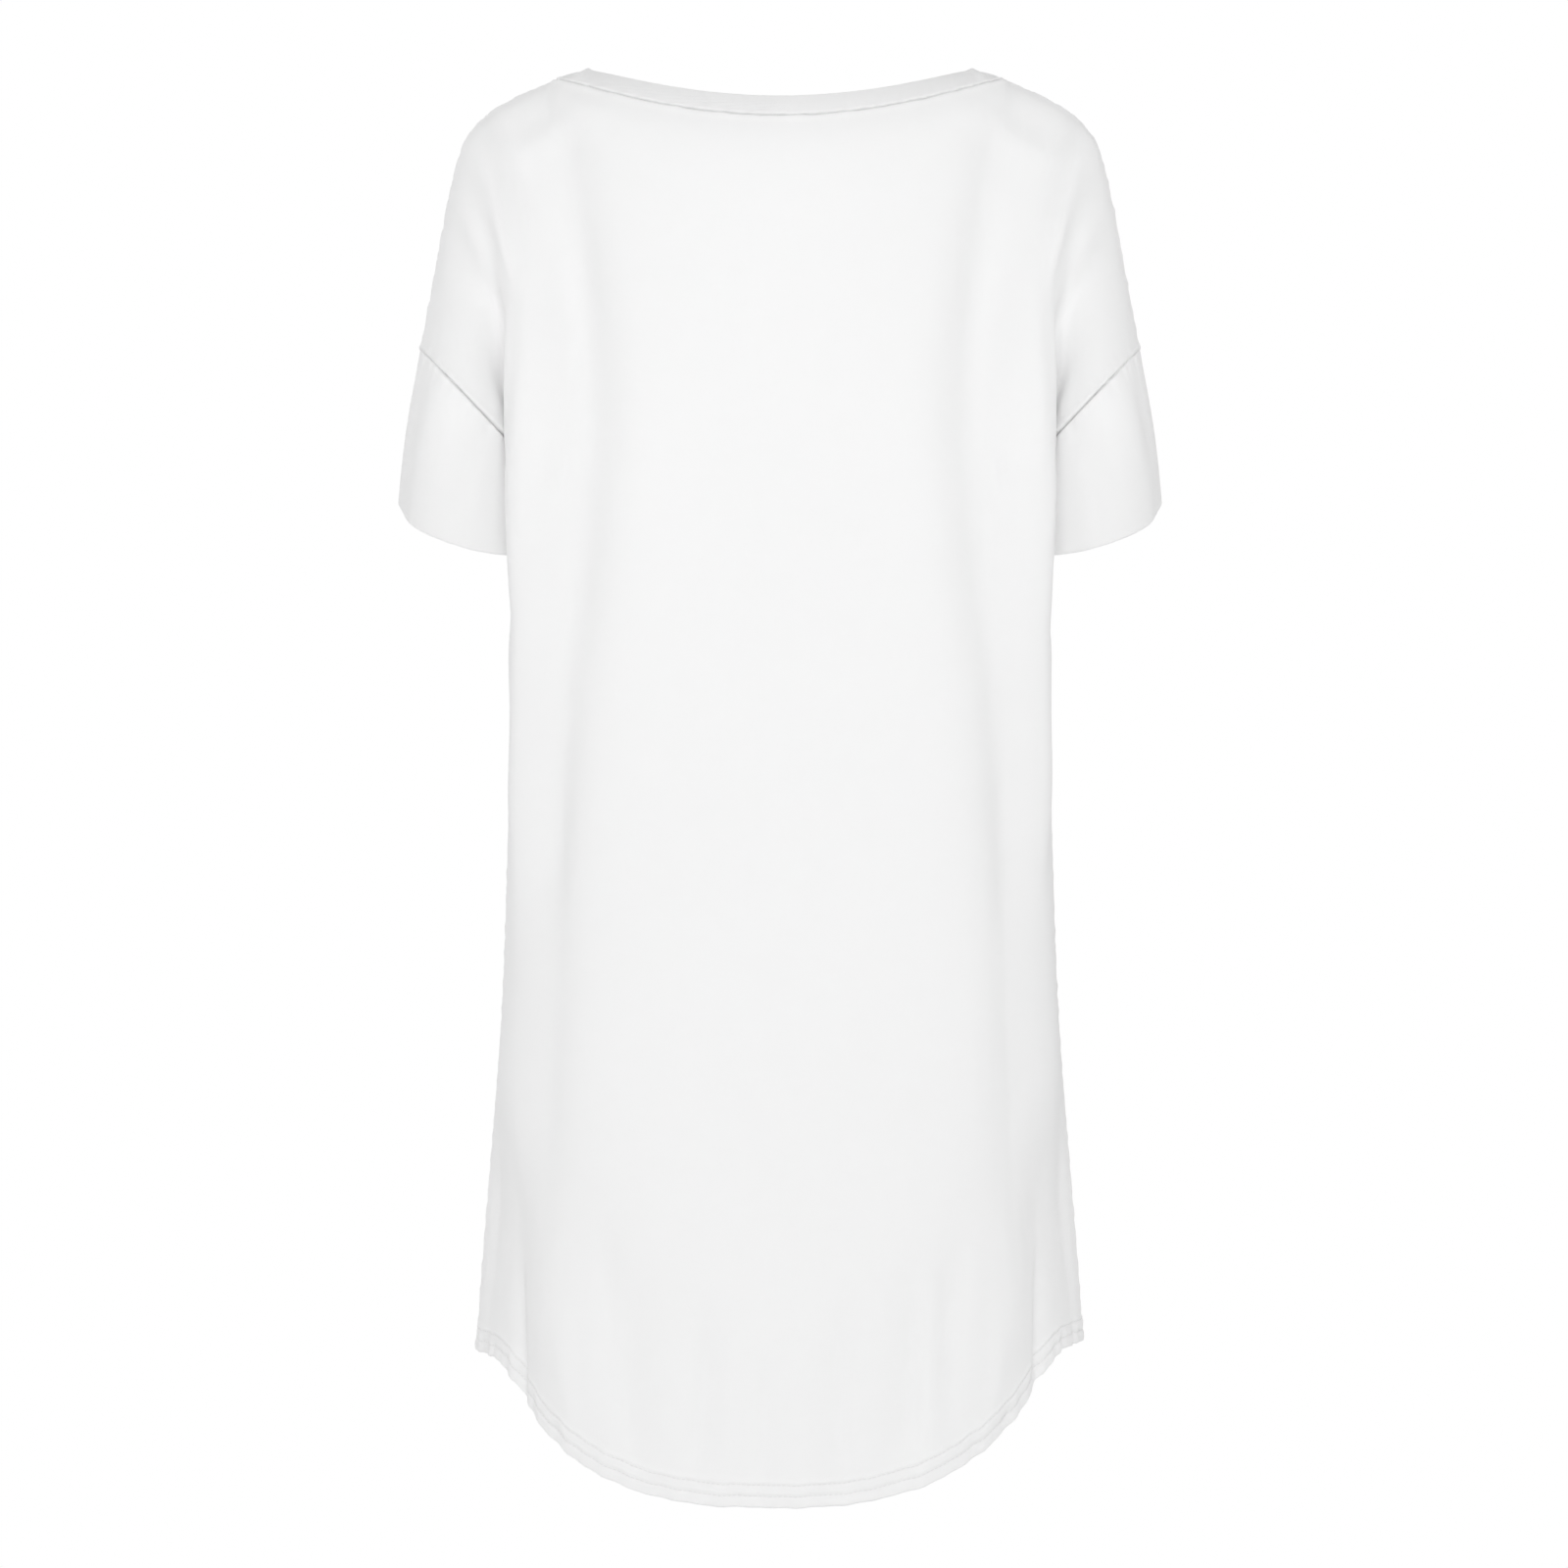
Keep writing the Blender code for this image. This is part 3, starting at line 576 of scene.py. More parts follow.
def relaxed_cloth():
    """The right-hand half: the yoke of the back and of the front, and the sleeve."""
    fairing = Fairing()
    across = np.linspace(0, 1, COLUMNS + 1)
    up = np.linspace(0, 1, YOKE_ROWS + 1)
    neck = np.linspace(0, 1, NECK_COLUMNS + 1)
    shoulder = np.linspace(0, 1, COLUMNS - NECK_COLUMNS + 1)
    yokes = []
    for back in (True, False):
        grid = np.zeros((YOKE_ROWS + 1, COLUMNS + 1, 3))
        grid[0] = ring_points(across, underarm_height(across), back)
        grid[-1, :NECK_COLUMNS + 1] = neck_points(NECK_SEAM, neck, back)
        grid[-1, NECK_COLUMNS:] = shoulder_points(shoulder)
        grid[:, -1] = armhole_points(up, back)
        given = np.zeros(grid.shape[:2], bool)
        given[[0, -1]] = True
        given[:, -1] = True
        numbers = fairing.add(grid, given)
        below = fairing.add(rows_below(back, 1)[0], True)
        band = fairing.add(neck_points(NECK_EDGE, neck, back), True)
        fairing.bend(numbers[:-2], numbers[1:-1], numbers[2:])
        fairing.bend(numbers[:, :-2], numbers[:, 1:-1], numbers[:, 2:])
        fairing.bend(below[:-1], numbers[0, :-1], numbers[1, :-1])
        fairing.bend(numbers[-2, :len(band)], numbers[-1, :len(band)], band)
        fairing.centre(numbers[:, 0], numbers[:, 1])
        fairing.twist(numbers)
        for line in (CORNER, HOLLOW):
            keep_to_line(fairing, numbers, line, back)
        yokes.append(numbers)
    back, front = yokes
    seam = slice(NECK_COLUMNS, None)
    fairing.bend(back[-2, seam], back[-1, seam], front[-2, seam])

    top = closed_ring(armhole_points(up, True), armhole_points(up, False))
    hem = closed_ring(sleeve_hem_points(up, True), sleeve_hem_points(up, False))
    share = np.linspace(0, 1, SLEEVE_ROWS + 1)[:, None, None]
    given = np.zeros((SLEEVE_ROWS + 1, len(top)), bool)
    given[[0, -1]] = True
    sleeve = fairing.add(top + (hem - top) * share, given)
    fairing.bend(sleeve[:-2], sleeve[1:-1], sleeve[2:])
    top_bend, hem_bend = (np.roll(r, 1, 0) - 2 * r + np.roll(r, -1, 0) for r in (top, hem))
    round_bend = top_bend + (hem_bend - top_bend) * share
    fairing.bend(np.roll(sleeve, 1, 1), sleeve, np.roll(sleeve, -1, 1), round_bend)
    inside = closed_ring(back[:, -2], front[:, -2])
    away = slice(UNDERARM_FREE + 1, -UNDERARM_FREE)
    fairing.bend(inside[away], sleeve[0, away], sleeve[1, away])
    points = fairing.solve()
    return points[back], points[front], points[sleeve]


def rows_below(back, count):
    """Rows of the body's rings under the yoke, as far apart as its rows at the centre."""
    across = np.linspace(0, 1, COLUMNS + 1)
    row_step = (NECK_SEAM[1] - NECK_SEAM[5] - UNDERARM) / YOKE_ROWS
    down = np.arange(count, 0, -1)[:, None] * row_step
    height = underarm_height(across) - down
    return ring_points(np.broadcast_to(across, height.shape), height, back)


# ---- fine grids


def refine(coarse, rows, columns):
    """Natural cubic splines through a coarse grid, up its columns and then along its rows."""
    tall = spline(np.arange(len(coarse)), coarse.reshape(len(coarse), -1), rows)
    tall = tall.reshape(len(rows), -1, 3).swapaxes(0, 1)
    wide = spline(np.arange(len(tall)), tall.reshape(len(tall), -1), columns)
    return wide.reshape(len(columns), len(rows), 3).swapaxes(0, 1)


def steps_to_seam(count, end, unit_length):
    """Even steps from 0 to near the end, and then the closer steps beside a seam."""
    near = end - SEAM_STEPS[::-1] / unit_length
    return np.concatenate([np.linspace(0, near[0], count, endpoint=False), near])


def panel_columns():
    """Shares from -1 at the left side seam to 1 at the right one."""
    half = steps_to_seam(SIDE_COLUMNS, 1, HALF_GIRTH)
    return np.concatenate([-half[:0:-1], half])


def fine_yoke(back, coarse, across):
    """The yoke's splines, drawn in their last row and column to the edges' own curves."""
    half = np.concatenate([rows_below(back, START_ROWS), coarse])
    whole = np.concatenate([half[:, :0:-1] * (-1, 1, 1), half], axis=1)
    up = steps_to_seam(FINE_YOKE_ROWS, YOKE_ROWS, YOKE_ROW)
    grid = refine(whole, up + START_ROWS, (across + 1) * COLUMNS)
    share = np.abs(across)
    on_left = (across < 0)[:, None]
    mirror = np.where(on_left, (-1, 1, 1), 1)
    neck = neck_points(NECK_SEAM, np.minimum(share / NECK_SHARE, 1), back)
    shoulder = shoulder_points(np.clip((share - NECK_SHARE) / (1 - NECK_SHARE), 0, 1))
    top = np.where((share < NECK_SHARE)[:, None], neck, shoulder) * mirror
    side = armhole_points(up / YOKE_ROWS, back)[:, None] * mirror
    side_error = side - np.where(on_left, grid[:, :1], grid[:, -1:])
    to_top = np.clip(up - YOKE_ROWS + 1, 0, 1)[:, None, None]
    to_side = np.clip(share * COLUMNS - COLUMNS + 1, 0, 1)[:, None]
    return grid + to_top * (top - grid[-1]) + to_side * side_error


def body_rows(back, across):
    """The body from the hem's edge up to the row under the yoke.

    The first rows follow the hem, at the rises of HEM_RISES square to its slope.
    """
    share = np.abs(across)
    hem = hem_height(share, *np.where(across > 0, HEM_RIGHT[:, None], HEM_LEFT[:, None]))
    hem += HEM_WAVER * waves(across * HALF_GIRTH, HEM_WAVES)
    slope = np.gradient(hem, across * HALF_GIRTH)
    low = hem + HEM_RISES[:, None] * np.sqrt(1 + slope**2)
    up = np.linspace(0, 1, BODY_ROWS + 1)[1:-1, None]
    height = np.concatenate([low, low[-1] + (underarm_height(share) - low[-1]) * up])
    body = ring_points(np.broadcast_to(share, height.shape), height, back)
    body[..., 0] *= np.where(across < 0, -1, 1)
    return body


def grid_normals(grid, closed=False):
    """Unit normals: the step along the row crossed with the step up the column."""
    if closed:
        along = np.roll(grid, -1, 1) - np.roll(grid, 1, 1)
    else:
        along = np.gradient(grid, axis=1)
    return unit(np.cross(along, np.gradient(grid, axis=0)))


def lengths_from_end(grid, axis):
    """Length of the cloth from the last row or column to each point."""
    total = lengths_along(np.flip(np.moveaxis(grid, axis, 0), 0))
    return np.moveaxis(np.flip(total, 0), 0, axis)


def fold_depths(across, height, folds):
    """Depth of the soft folds: each is a bell across and fades out at its two ends."""
    depth = np.zeros(height.shape)
    for top_share, low_share, top, low, left, right, fold_depth in folds:
        down = np.clip((top - height) / (top - low), 0, 1)
        aside = (across - top_share - (low_share - top_share) * down) * HALF_GIRTH
        fade = smooth_step((top - height) / FOLD_FADE) * smooth_step((height - low) / FOLD_FADE)
        depth += fold_depth * fade * bell(aside, np.where(aside < 0, left, right))
    return depth


def crease_depths(out, up, creases):
    """Depth of the small creases: a bell across a line that a parabola bows to one side.

    Along the line each crease fades in and out as a smooth step.
    """
    depth = np.zeros(out.shape)
    for out0, up0, out1, up1, bow, left, right, crease_depth in creases:
        run_out, run_up = out1 - out0, up1 - up0
        length = np.hypot(run_out, run_up)
        along = ((out - out0) * run_out + (up - up0) * run_up) / length**2
        aside = ((up - up0) * run_out - (out - out0) * run_up) / length
        aside -= bow * 4 * along * (1 - along)
        fade = smooth_step(along / CREASE_FADE) * smooth_step((1 - along) / CREASE_FADE)
        depth += crease_depth * fade * bell(aside, np.where(aside < 0, left, right))
    return depth


def waves(along, table):
    """Sum of sine waves along a line. The table gives each one's length and phase."""
    return sum(np.sin(along * 2 * np.pi / length + phase) for length, phase in table)


def seam_relief(distance, along, ridge, ditch_share=1.0):
    """Depth beside a seam: a ditch, a ridge over the allowance, and fine puckers.

    The puckers are three sine waves along the seam and die away from it.
    """
    ditch = ditch_share * SEAM_DITCH * bell(distance, SEAM_DITCH_WIDTH)
    raised = ridge * SEAM_RIDGE * bell(distance - SEAM_RIDGE_PLACE, SEAM_RIDGE_WIDTH)
    near = np.exp(-distance / PUCKER_REACH) * (1 - bell(distance, SEAM_DITCH_WIDTH))
    return ditch - raised + PUCKER * waves(along, PUCKER_WAVES) * near


def over_arm(distance):
    """Share of the armhole's ditch at a distance along it from its top."""
    return FLAT_SEAM + (1 - FLAT_SEAM) * smooth_step(distance / FLAT_SEAM_LENGTH)


def turned_in(grid, normals, shade, turn_rows):
    """Carries a sheet round its lower edge and up again on the inside, with its painted seam shade.

    The fold is a half circle. Its points lie on the first rows, set in by the radius
    times one less or more the cosine, and the inner rows lie two radii in.
    """
    cosine = np.ones(len(grid))
    cosine[:len(FOLD_SINES)] = np.sqrt(1 - FOLD_SINES**2)
    inner = np.arange(turn_rows, -1, -1)
    outer = np.arange(1, len(grid))
    rows = np.concatenate([inner, outer])
    inset = FOLD_RADIUS * np.concatenate([1 + cosine[inner], 1 - cosine[outer]])
    return grid[rows] - normals[rows] * inset[:, None, None], shade[rows]


def new_object(name, data):
    """Puts a new object in the scene, at the origin and unscaled."""
    thing = bpy.data.objects.new(name, data)
    bpy.context.scene.collection.objects.link(thing)
    return thing


def cloth_places(grid, closed):
    """Where each point lies on the flat cloth: the lengths along the rows and columns."""
    if closed:
        grid = wrapped(grid)
    along = lengths_from_end(grid, 1)
    upward = lengths_from_end(grid, 0)
    return np.stack([along[:, :1] / 2 - along, upward[:1] - upward], axis=-1)


def grid_object(name, grid, shade, closed):
    """A sheet of cloth from a grid of points.

    Its places on the flat cloth are its UV, and its painted shade by the seams is an attribute.
    """
    places = cloth_places(grid, closed)
    number = np.arange(grid[..., 0].size).reshape(grid.shape[:2])
    if closed:
        number = wrapped(number)
    mesh = bpy.data.meshes.new(name)
    faces = cell_corners(number).reshape(-1, 4)
    mesh.from_pydata(grid.reshape(-1, 3).tolist(), [], faces.tolist())
    layer = mesh.uv_layers.new(name="cloth")
    layer.data.foreach_set("uv", cell_corners(places).astype(np.float32).ravel())
    # Painted shade: a mask of how near each point lies to a seam, which darkens the colour
    painted_shade_attribute = mesh.attributes.new("painted_seam_shade", "FLOAT", "POINT")
    painted_shade_attribute.data.foreach_set("value", shade.astype(np.float32).ravel())
    mesh.shade_smooth()
    piece = new_object(name, mesh)
    wall = piece.modifiers.new("cloth_thickness", "SOLIDIFY")
    wall.thickness = CLOTH
    wall.offset = -1
    return piece


# ---- the cut pieces


def panel(back, coarse, folds, creases):
    """A whole panel's outer face, from the hem's edge up, and its painted shade by the seams.

    Folds and creases move the points in along their normals. The relief moves them again:
    the seams, a groove under each row of stitches, and the hem's ripples and raised lip.
    """
    across = panel_columns()
    grid = np.concatenate([body_rows(back, across), fine_yoke(back, coarse, across)])
    height = grid[..., 2]
    out = np.broadcast_to(across * HALF_GIRTH, height.shape)
    rows_left = np.arange(len(grid))[::-1, None] * YOKE_ROWS / FINE_YOKE_ROWS
    to_side = 1 - np.abs(across)
    depth = fold_depths(across, height, folds)
    depth *= smooth_step(to_side / FOLD_SIDE_CALM) * smooth_step(rows_left / FOLD_TOP_CALM)
    calm = smooth_step(to_side / CREASE_SIDE_CALM) * smooth_step(rows_left / CREASE_TOP_CALM)
    depth += crease_depths(out, height, creases) * calm
    if not back:
        grid, depth = grid[:, ::-1], depth[:, ::-1]
    grid = grid - grid_normals(grid) * depth[..., None]

    from_top = lengths_from_end(grid, 0)
    from_right = lengths_from_end(grid, 1)
    from_left = from_right[:, :1] - from_right
    relief = seam_relief(from_top, out, 1)
    # Painted shade beside the seams, as a mask for the colour
    shade = bell(from_top, PAINTED_SHADE_WIDTH)
    for beside in (from_left, from_right):
        relief += seam_relief(beside, from_top, SIDE_RIDGE_SHARE, over_arm(from_top))
        shade = np.maximum(shade, bell(beside, PAINTED_SHADE_WIDTH) * over_arm(from_top))
    rise = HEM_RISES[:, None]
    hem = relief[:len(rise)]  # a view, so the next lines change the relief itself
    for stitch in (UPPER_STITCH, LOWER_STITCH):
        hem += STITCH_GROOVE * bell(rise - stitch, STITCH_GROOVE_WIDTH)
    ripple = HEM_RIPPLE * waves(out[:1], HEM_WAVES)
    hem += ripple * smooth_step((HEM_TURN_UP - rise) / HEM_RIPPLE_FADE)
    hem -= HEM_LIP * smooth_step(0.5 + (HEM_TURN_UP - rise) / HEM_LIP_STEP)
    return grid - grid_normals(grid) * relief[..., None], shade


def resampled(grid, rise):
    """Moves the rows of a grid to the wanted lengths up each column, by straight steps."""
    length = lengths_from_end(grid[::-1], 0)[::-1]
    below = (length[:, None] <= rise).sum(axis=0)
    k = np.clip(below, 1, len(grid) - 1)
    column = np.arange(grid.shape[1])
    low, high = length[k - 1, column], length[k, column]
    share = ((rise - low) / (high - low))[..., None]
    return grid[k - 1, column] * (1 - share) + grid[k, column] * share


def sleeve(coarse):
    """The wearer's right sleeve: outer face from the cuff's edge up, and its painted seam shade.

    Splines through the coarse rings, wrapped round past their ends, then rows at the wanted
    lengths up each column. Creases and seams move the points in along their normals.
    """
    wrap = SLEEVE_WRAP
    wide = np.concatenate([coarse[:, -wrap:], coarse, coarse[:, :wrap]], axis=1)[::-1]
    ring = np.arange(SLEEVE_COLUMNS) * coarse.shape[1] / SLEEVE_COLUMNS
    fine = refine(wide, np.linspace(0, SLEEVE_ROWS, CURVE_SAMPLES // 2), ring + wrap)
    half = ring[ring <= YOKE_ROWS] / YOKE_ROWS
    fine[-1] = closed_ring(armhole_points(half, True), armhole_points(half, False))
    length = lengths_from_end(fine, 0)[0]
    upper = steps_to_seam(SLEEVE_FINE_ROWS, 1, length.mean())[1:, None]
    low = np.broadcast_to(CUFF_RISES[:, None], (len(CUFF_RISES), len(length)))
    rise = np.concatenate([low, low[-1] + (length - low[-1]) * upper])
    grid = resampled(fine, np.minimum(rise, length))

    round_it = lengths_from_end(wrapped(grid), 1)
    round_it = (round_it[:, :1] - round_it)[:, :-1]
    girth = round_it[:, -1:]
    depth = crease_depths(round_it, rise, SLEEVE_CREASES)
    grid = grid - grid_normals(grid, True) * depth[..., None]
    from_top = lengths_from_end(grid, 0)
    ditch_share = over_arm(np.abs(round_it - girth / 2))
    relief = seam_relief(from_top, round_it, 0, ditch_share)
    beside = np.minimum(round_it, girth - round_it)
    relief += seam_relief(beside, from_top, UNDERARM_RIDGE_SHARE)
    # Painted shade beside the armhole seam, fading out over the arm
    shade = bell(from_top, PAINTED_SHADE_WIDTH) * ditch_share
    return grid - grid_normals(grid, True) * relief[..., None], shade


def neckband():
    """The band's outer face all round the neck, from its free edge down, and its painted seam
    shade.

    Straight lines across it join two curves round the neck. It is rounded by half a sine
    wave across it, creased by the shoulders and pressed in at its seam.
    """
    quarter = np.linspace(0, 1, BAND_COLUMNS // 4 + 1)
    rings = []
    for sizes in (NECK_EDGE, NECK_SEAM):
        back = neck_points(sizes, quarter, True)
        front = neck_points(sizes, quarter, False)
        right = np.concatenate([back, front[-2::-1]])
        rings.append(np.concatenate([right, right[-2:0:-1] * (-1, 1, 1)])[::-1])
    edge, seam = rings
    width = np.linalg.norm(seam - edge, axis=1)
    low = np.broadcast_to(CUFF_RISES[:BAND_EDGE_ROWS, None], (BAND_EDGE_ROWS, len(width)))
    middle = np.linspace(0, 1, BAND_ROWS + 1)[1:, None] * (width - low[-1] - SEAM_STEPS[-1])
    near = width - SEAM_STEPS[-2::-1, None]
    rise = np.concatenate([low, low[-1] + middle, near])
    grid = edge + (seam - edge) * (rise / width)[..., None]

    from_seam = width - rise
    along = lengths_from_end(wrapped(grid), 1)[:, :-1]
    relief = seam_relief(from_seam, along, 0) - BAND_ROUND * np.sin(np.pi * rise / width)
    calm = 1 - bell(from_seam, BAND_CREASE_CALM)
    relief += crease_depths(SHOULDER_Y - grid[..., 1], rise, BAND_CREASES) * calm
    # Painted shade beside the neck seam
    shade = bell(from_seam, PAINTED_SHADE_WIDTH)
    return grid - grid_normals(grid, True) * relief[..., None], shade


# ---- stitches and allowances


def stitches(name, path, normals):
    """One row of stitches along a path: each is a short thread that dips at its ends.

    A stitch is a tube of five rings. Its height over the cloth is a cosine of the place
    along it, and its radius shrinks towards the ends.
    """
    length = lengths_along(path)
    count = int(length[-1] / STITCH_PITCH)
    middle = (np.arange(count) + 0.5) * length[-1] / count
    place = middle[:, None] + STITCH_RINGS * STITCH_LENGTH
    centre, lift = (
        np.stack([np.interp(place, length, field[:, k]) for k in range(3)], axis=-1)
        for field in (path, normals)
    )
    lift = unit(lift)
    forward = unit(np.gradient(centre, axis=1))
    aside = unit(np.cross(forward, lift))
    bow = np.cos(np.pi * STITCH_RINGS)[:, None]
    centre = centre + lift * THREAD * (STITCH_RISE * bow - STITCH_SINK)
    radius = (THREAD * (STITCH_TIP + (1 - STITCH_TIP) * np.sqrt(bow)))[:, None]
    angle = np.linspace(0, 2 * np.pi, STITCH_SIDES, endpoint=False)[:, None]
    ring = np.cos(angle) * aside[:, :, None] + np.sin(angle) * lift[:, :, None]
    points = centre[:, :, None] + ring * radius
    return tube_object(name, points.reshape(-1, *points.shape[2:]), count)


def tube_object(name, rings, count, closed=False):
    """Tubes from rings of points. Each of the count tubes has its share of the rings."""
    total, sides = rings.shape[:2]
    number = np.arange(total * sides).reshape(count, -1, sides)
    if closed:
        number = wrapped(number)
    turned = np.roll(number, -1, axis=2)
    cells = number[:, :-1], turned[:, :-1], turned[:, 1:], number[:, 1:]
    faces = np.stack(cells, axis=-1).reshape(-1, 4).tolist()
    if not closed:
        faces += number[:, 0, ::-1].tolist() + number[:, -1].tolist()
    mesh = bpy.data.meshes.new(name)
    mesh.from_pydata(rings.reshape(-1, 3).tolist(), [], faces)
    mesh.shade_smooth()
    return new_object(name, mesh)


def allowance(name, path, outward, closed):
    """The overlocked allowance inside a seam: a flat band that stands in from the path."""
    if closed:
        forward = unit(np.roll(path, -1, 0) - np.roll(path, 1, 0))
    else:
        forward = unit(np.gradient(path, axis=0))
    aside = unit(np.cross(outward, forward))
    across = aside[:, None] * ALLOWANCE_HALF * ALLOWANCE_ASIDE
    rings = path[:, None] + across - outward[:, None] * ALLOWANCE_DEPTH * ALLOWANCE_INWARD
    return tube_object(name, rings, 1, closed)


# ---- finishes


VECTOR = "NodeSocketVector"
NUMBER = "NodeSocketFloat"


def node_group(name, inputs, outputs):
    """An empty shader node group with named sockets."""
    group = bpy.data.node_groups.new(name, "ShaderNodeTree")
    for socket, kind in inputs:
        group.interface.new_socket(socket, in_out="INPUT", socket_type=kind)
    for socket, kind in outputs:
        group.interface.new_socket(socket, in_out="OUTPUT", socket_type=kind)
    return group, group.nodes.new("NodeGroupInput"), group.nodes.new("NodeGroupOutput")


def feed(tree, node, **values):
    """Sets a node's inputs, named with _ for each space, to constants or other outputs."""
    for name, value in values.items():
        feed_socket(tree, node.inputs[name.replace("_", " ")], value)


def feed_socket(tree, socket, value):
    """Links another node's output to a socket, or sets its constant."""
    if isinstance(value, bpy.types.NodeSocket):
        tree.links.new(value, socket)
    else:
        socket.default_value = value


def add_node(tree, kind, **values):
    """Adds a node of a kind and feeds it."""
    node = tree.nodes.new("ShaderNode" + kind)
    feed(tree, node, **values)
    return node


def add_group(tree, group, **values):
    """Adds a node group and feeds it."""
    node = add_node(tree, "Group")
    node.node_tree = group
    feed(tree, node, **values)
    return node


def math(tree, operation, first, second=0.0):
    """A math node. Each input is a number or another node's output."""
    node = tree.nodes.new("ShaderNodeMath")
    node.operation = operation
    for socket, value in zip(node.inputs, (first, second)):
        feed_socket(tree, socket, value)
    return node.outputs[0]


def grey_between(tree, factor, dark, light):
    """A grey that goes from dark to light with the factor."""
    tone = tree.nodes.new("ShaderNodeMix")
    tone.data_type = "RGBA"
    feed(tree, tone, A=(dark, dark, dark, 1), B=(light, light, light, 1), Factor=factor)
    return tone.outputs["Result"]


def knit_group():
    """Plain knit: two slanted legs in each wale, and a bump for each course.

    A leg's height is one less the square of the distance from its middle. The courses
    are a sine wave, 0.7 plus or less 0.3, that slants up from the middle of the wale.
    """
    inputs = (("Cloth Place", VECTOR), ("Wale", NUMBER), ("Course", NUMBER))
    group, given, made = node_group("jersey_knit", inputs, (("Height", NUMBER),))
    split = add_node(group, "SeparateXYZ", Vector=given.outputs["Cloth Place"])
    wale = math(group, "DIVIDE", split.outputs["X"], given.outputs["Wale"])
    course = math(group, "DIVIDE", split.outputs["Y"], given.outputs["Course"])
    side = math(group, "ABSOLUTE", math(group, "SUBTRACT", math(group, "FRACT", wale), 0.5))
    off_leg = math(group, "SUBTRACT", math(group, "MULTIPLY", side, 4.0), 1.0)
    leg = math(group, "SUBTRACT", 1.0, math(group, "MULTIPLY", off_leg, off_leg))
    slanted = math(group, "ADD", course, side)
    wave = math(group, "SINE", math(group, "MULTIPLY", slanted, 2 * np.pi))
    bump = math(group, "ADD", math(group, "MULTIPLY", wave, 0.3), 0.7)
    feed(group, made, Height=math(group, "MULTIPLY", leg, bump))
    return group


def painted_seam_shade_group():
    """Painted seam shade: the cloth's lightness is one less the shade mask times the darkening."""
    inputs = (("Shade", NUMBER), ("Darkening", NUMBER))
    group, given, made = node_group("painted_seam_shade", inputs, (("Lightness", NUMBER),))
    dark = math(group, "MULTIPLY", given.outputs["Shade"], given.outputs["Darkening"])
    feed(group, made, Lightness=math(group, "SUBTRACT", 1.0, dark))
    return group


def unevenness_group():
    """Soft unevenness of hanging jersey: broad dimples, fine slubs and a faint tone."""
    inputs = (("Place", VECTOR), ("Cloth Place", VECTOR))
    outputs = (("Dimples", NUMBER), ("Slubs", NUMBER), ("Tone", NUMBER))
    group, given, made = node_group("cloth_unevenness", inputs, outputs)
    noises = (
        ("Dimples", "Place", (22, 22, 9), 2.0),
        ("Slubs", "Cloth Place", (90, 900, 1), 1.0),
        ("Tone", "Place", (7, 7, 4), 3.0),
    )
    for output, source, scale, detail in noises:
        place = add_node(group, "Mapping", Scale=scale, Vector=given.outputs[source])
        noise = add_node(group, "TexNoise", Scale=1.0, Detail=detail, Vector=place.outputs[0])
        feed_socket(group, made.inputs[output], noise.outputs["Fac"])
    return group


KNIT = knit_group()
UNEVENNESS = unevenness_group()
PAINTED_SEAM_SHADE = painted_seam_shade_group()
# How much of the colour the painted seam shade takes away at a seam
PAINTED_SHADE_DARKENING = 0.3
WALE = 0.7 * MM
COURSE = 0.6 * MM
# Share of the thread's colour left in the grooves between its ridges, as painted shade
PAINTED_GROOVE_SHADE = 0.94
THREAD_RIDGE = 0.1 * MM


def new_finish(name, **values):
    """A new material: itself, its nodes and its shader, which is fed with the values."""
    finish = bpy.data.materials.new(name)
    finish.use_nodes = True
    shader = finish.node_tree.nodes["Principled BSDF"]
    feed(finish.node_tree, shader, **values)
    return finish, finish.node_tree, shader


def jersey(name, light, shade, knit_depth, dimple_depth):
    """Matt white jersey: knit, slubs, soft unevenness, and painted shade beside the seams."""
    finish, tree, shader = new_finish(
        name, Roughness=0.9, Specular_IOR_Level=0.25, Sheen_Weight=0.2, Sheen_Roughness=0.5
    )
    place = add_node(tree, "TexCoord").outputs["Object"]
    cloth_map = add_node(tree, "UVMap")
    cloth_map.uv_map = "cloth"
    cloth = cloth_map.outputs[0]
    knit = add_group(tree, KNIT, Cloth_Place=cloth, Wale=WALE, Course=COURSE)
    uneven = add_group(tree, UNEVENNESS, Place=place, Cloth_Place=cloth)
    knitted = math(tree, "MULTIPLY", knit.outputs["Height"], knit_depth)
    dimpled = math(tree, "MULTIPLY", uneven.outputs["Dimples"], dimple_depth)
    slubbed = math(tree, "MULTIPLY", uneven.outputs["Slubs"], knit_depth)
    height = math(tree, "ADD", math(tree, "ADD", knitted, dimpled), slubbed)
    bump = add_node(tree, "Bump", Strength=1.0, Distance=1.0, Height=height)
    # Painted shade: the seam mask darkens the base colour
    painted_shade_attribute = add_node(tree, "Attribute")
    painted_shade_attribute.attribute_name = "painted_seam_shade"
    beside = painted_shade_attribute.outputs["Fac"]
    painted_shading = add_group(tree, PAINTED_SEAM_SHADE, Shade=beside, Darkening=PAINTED_SHADE_DARKENING)
    painted_shaded_tone = tree.nodes.new("ShaderNodeVectorMath")
    painted_shaded_tone.operation = "SCALE"
    tone = grey_between(tree, uneven.outputs["Tone"], shade, light)
    feed(tree, painted_shaded_tone, Vector=tone, Scale=painted_shading.outputs["Lightness"])
    feed(tree, shader, Base_Color=painted_shaded_tone.outputs[0], Normal=bump.outputs["Normal"])
    return finish


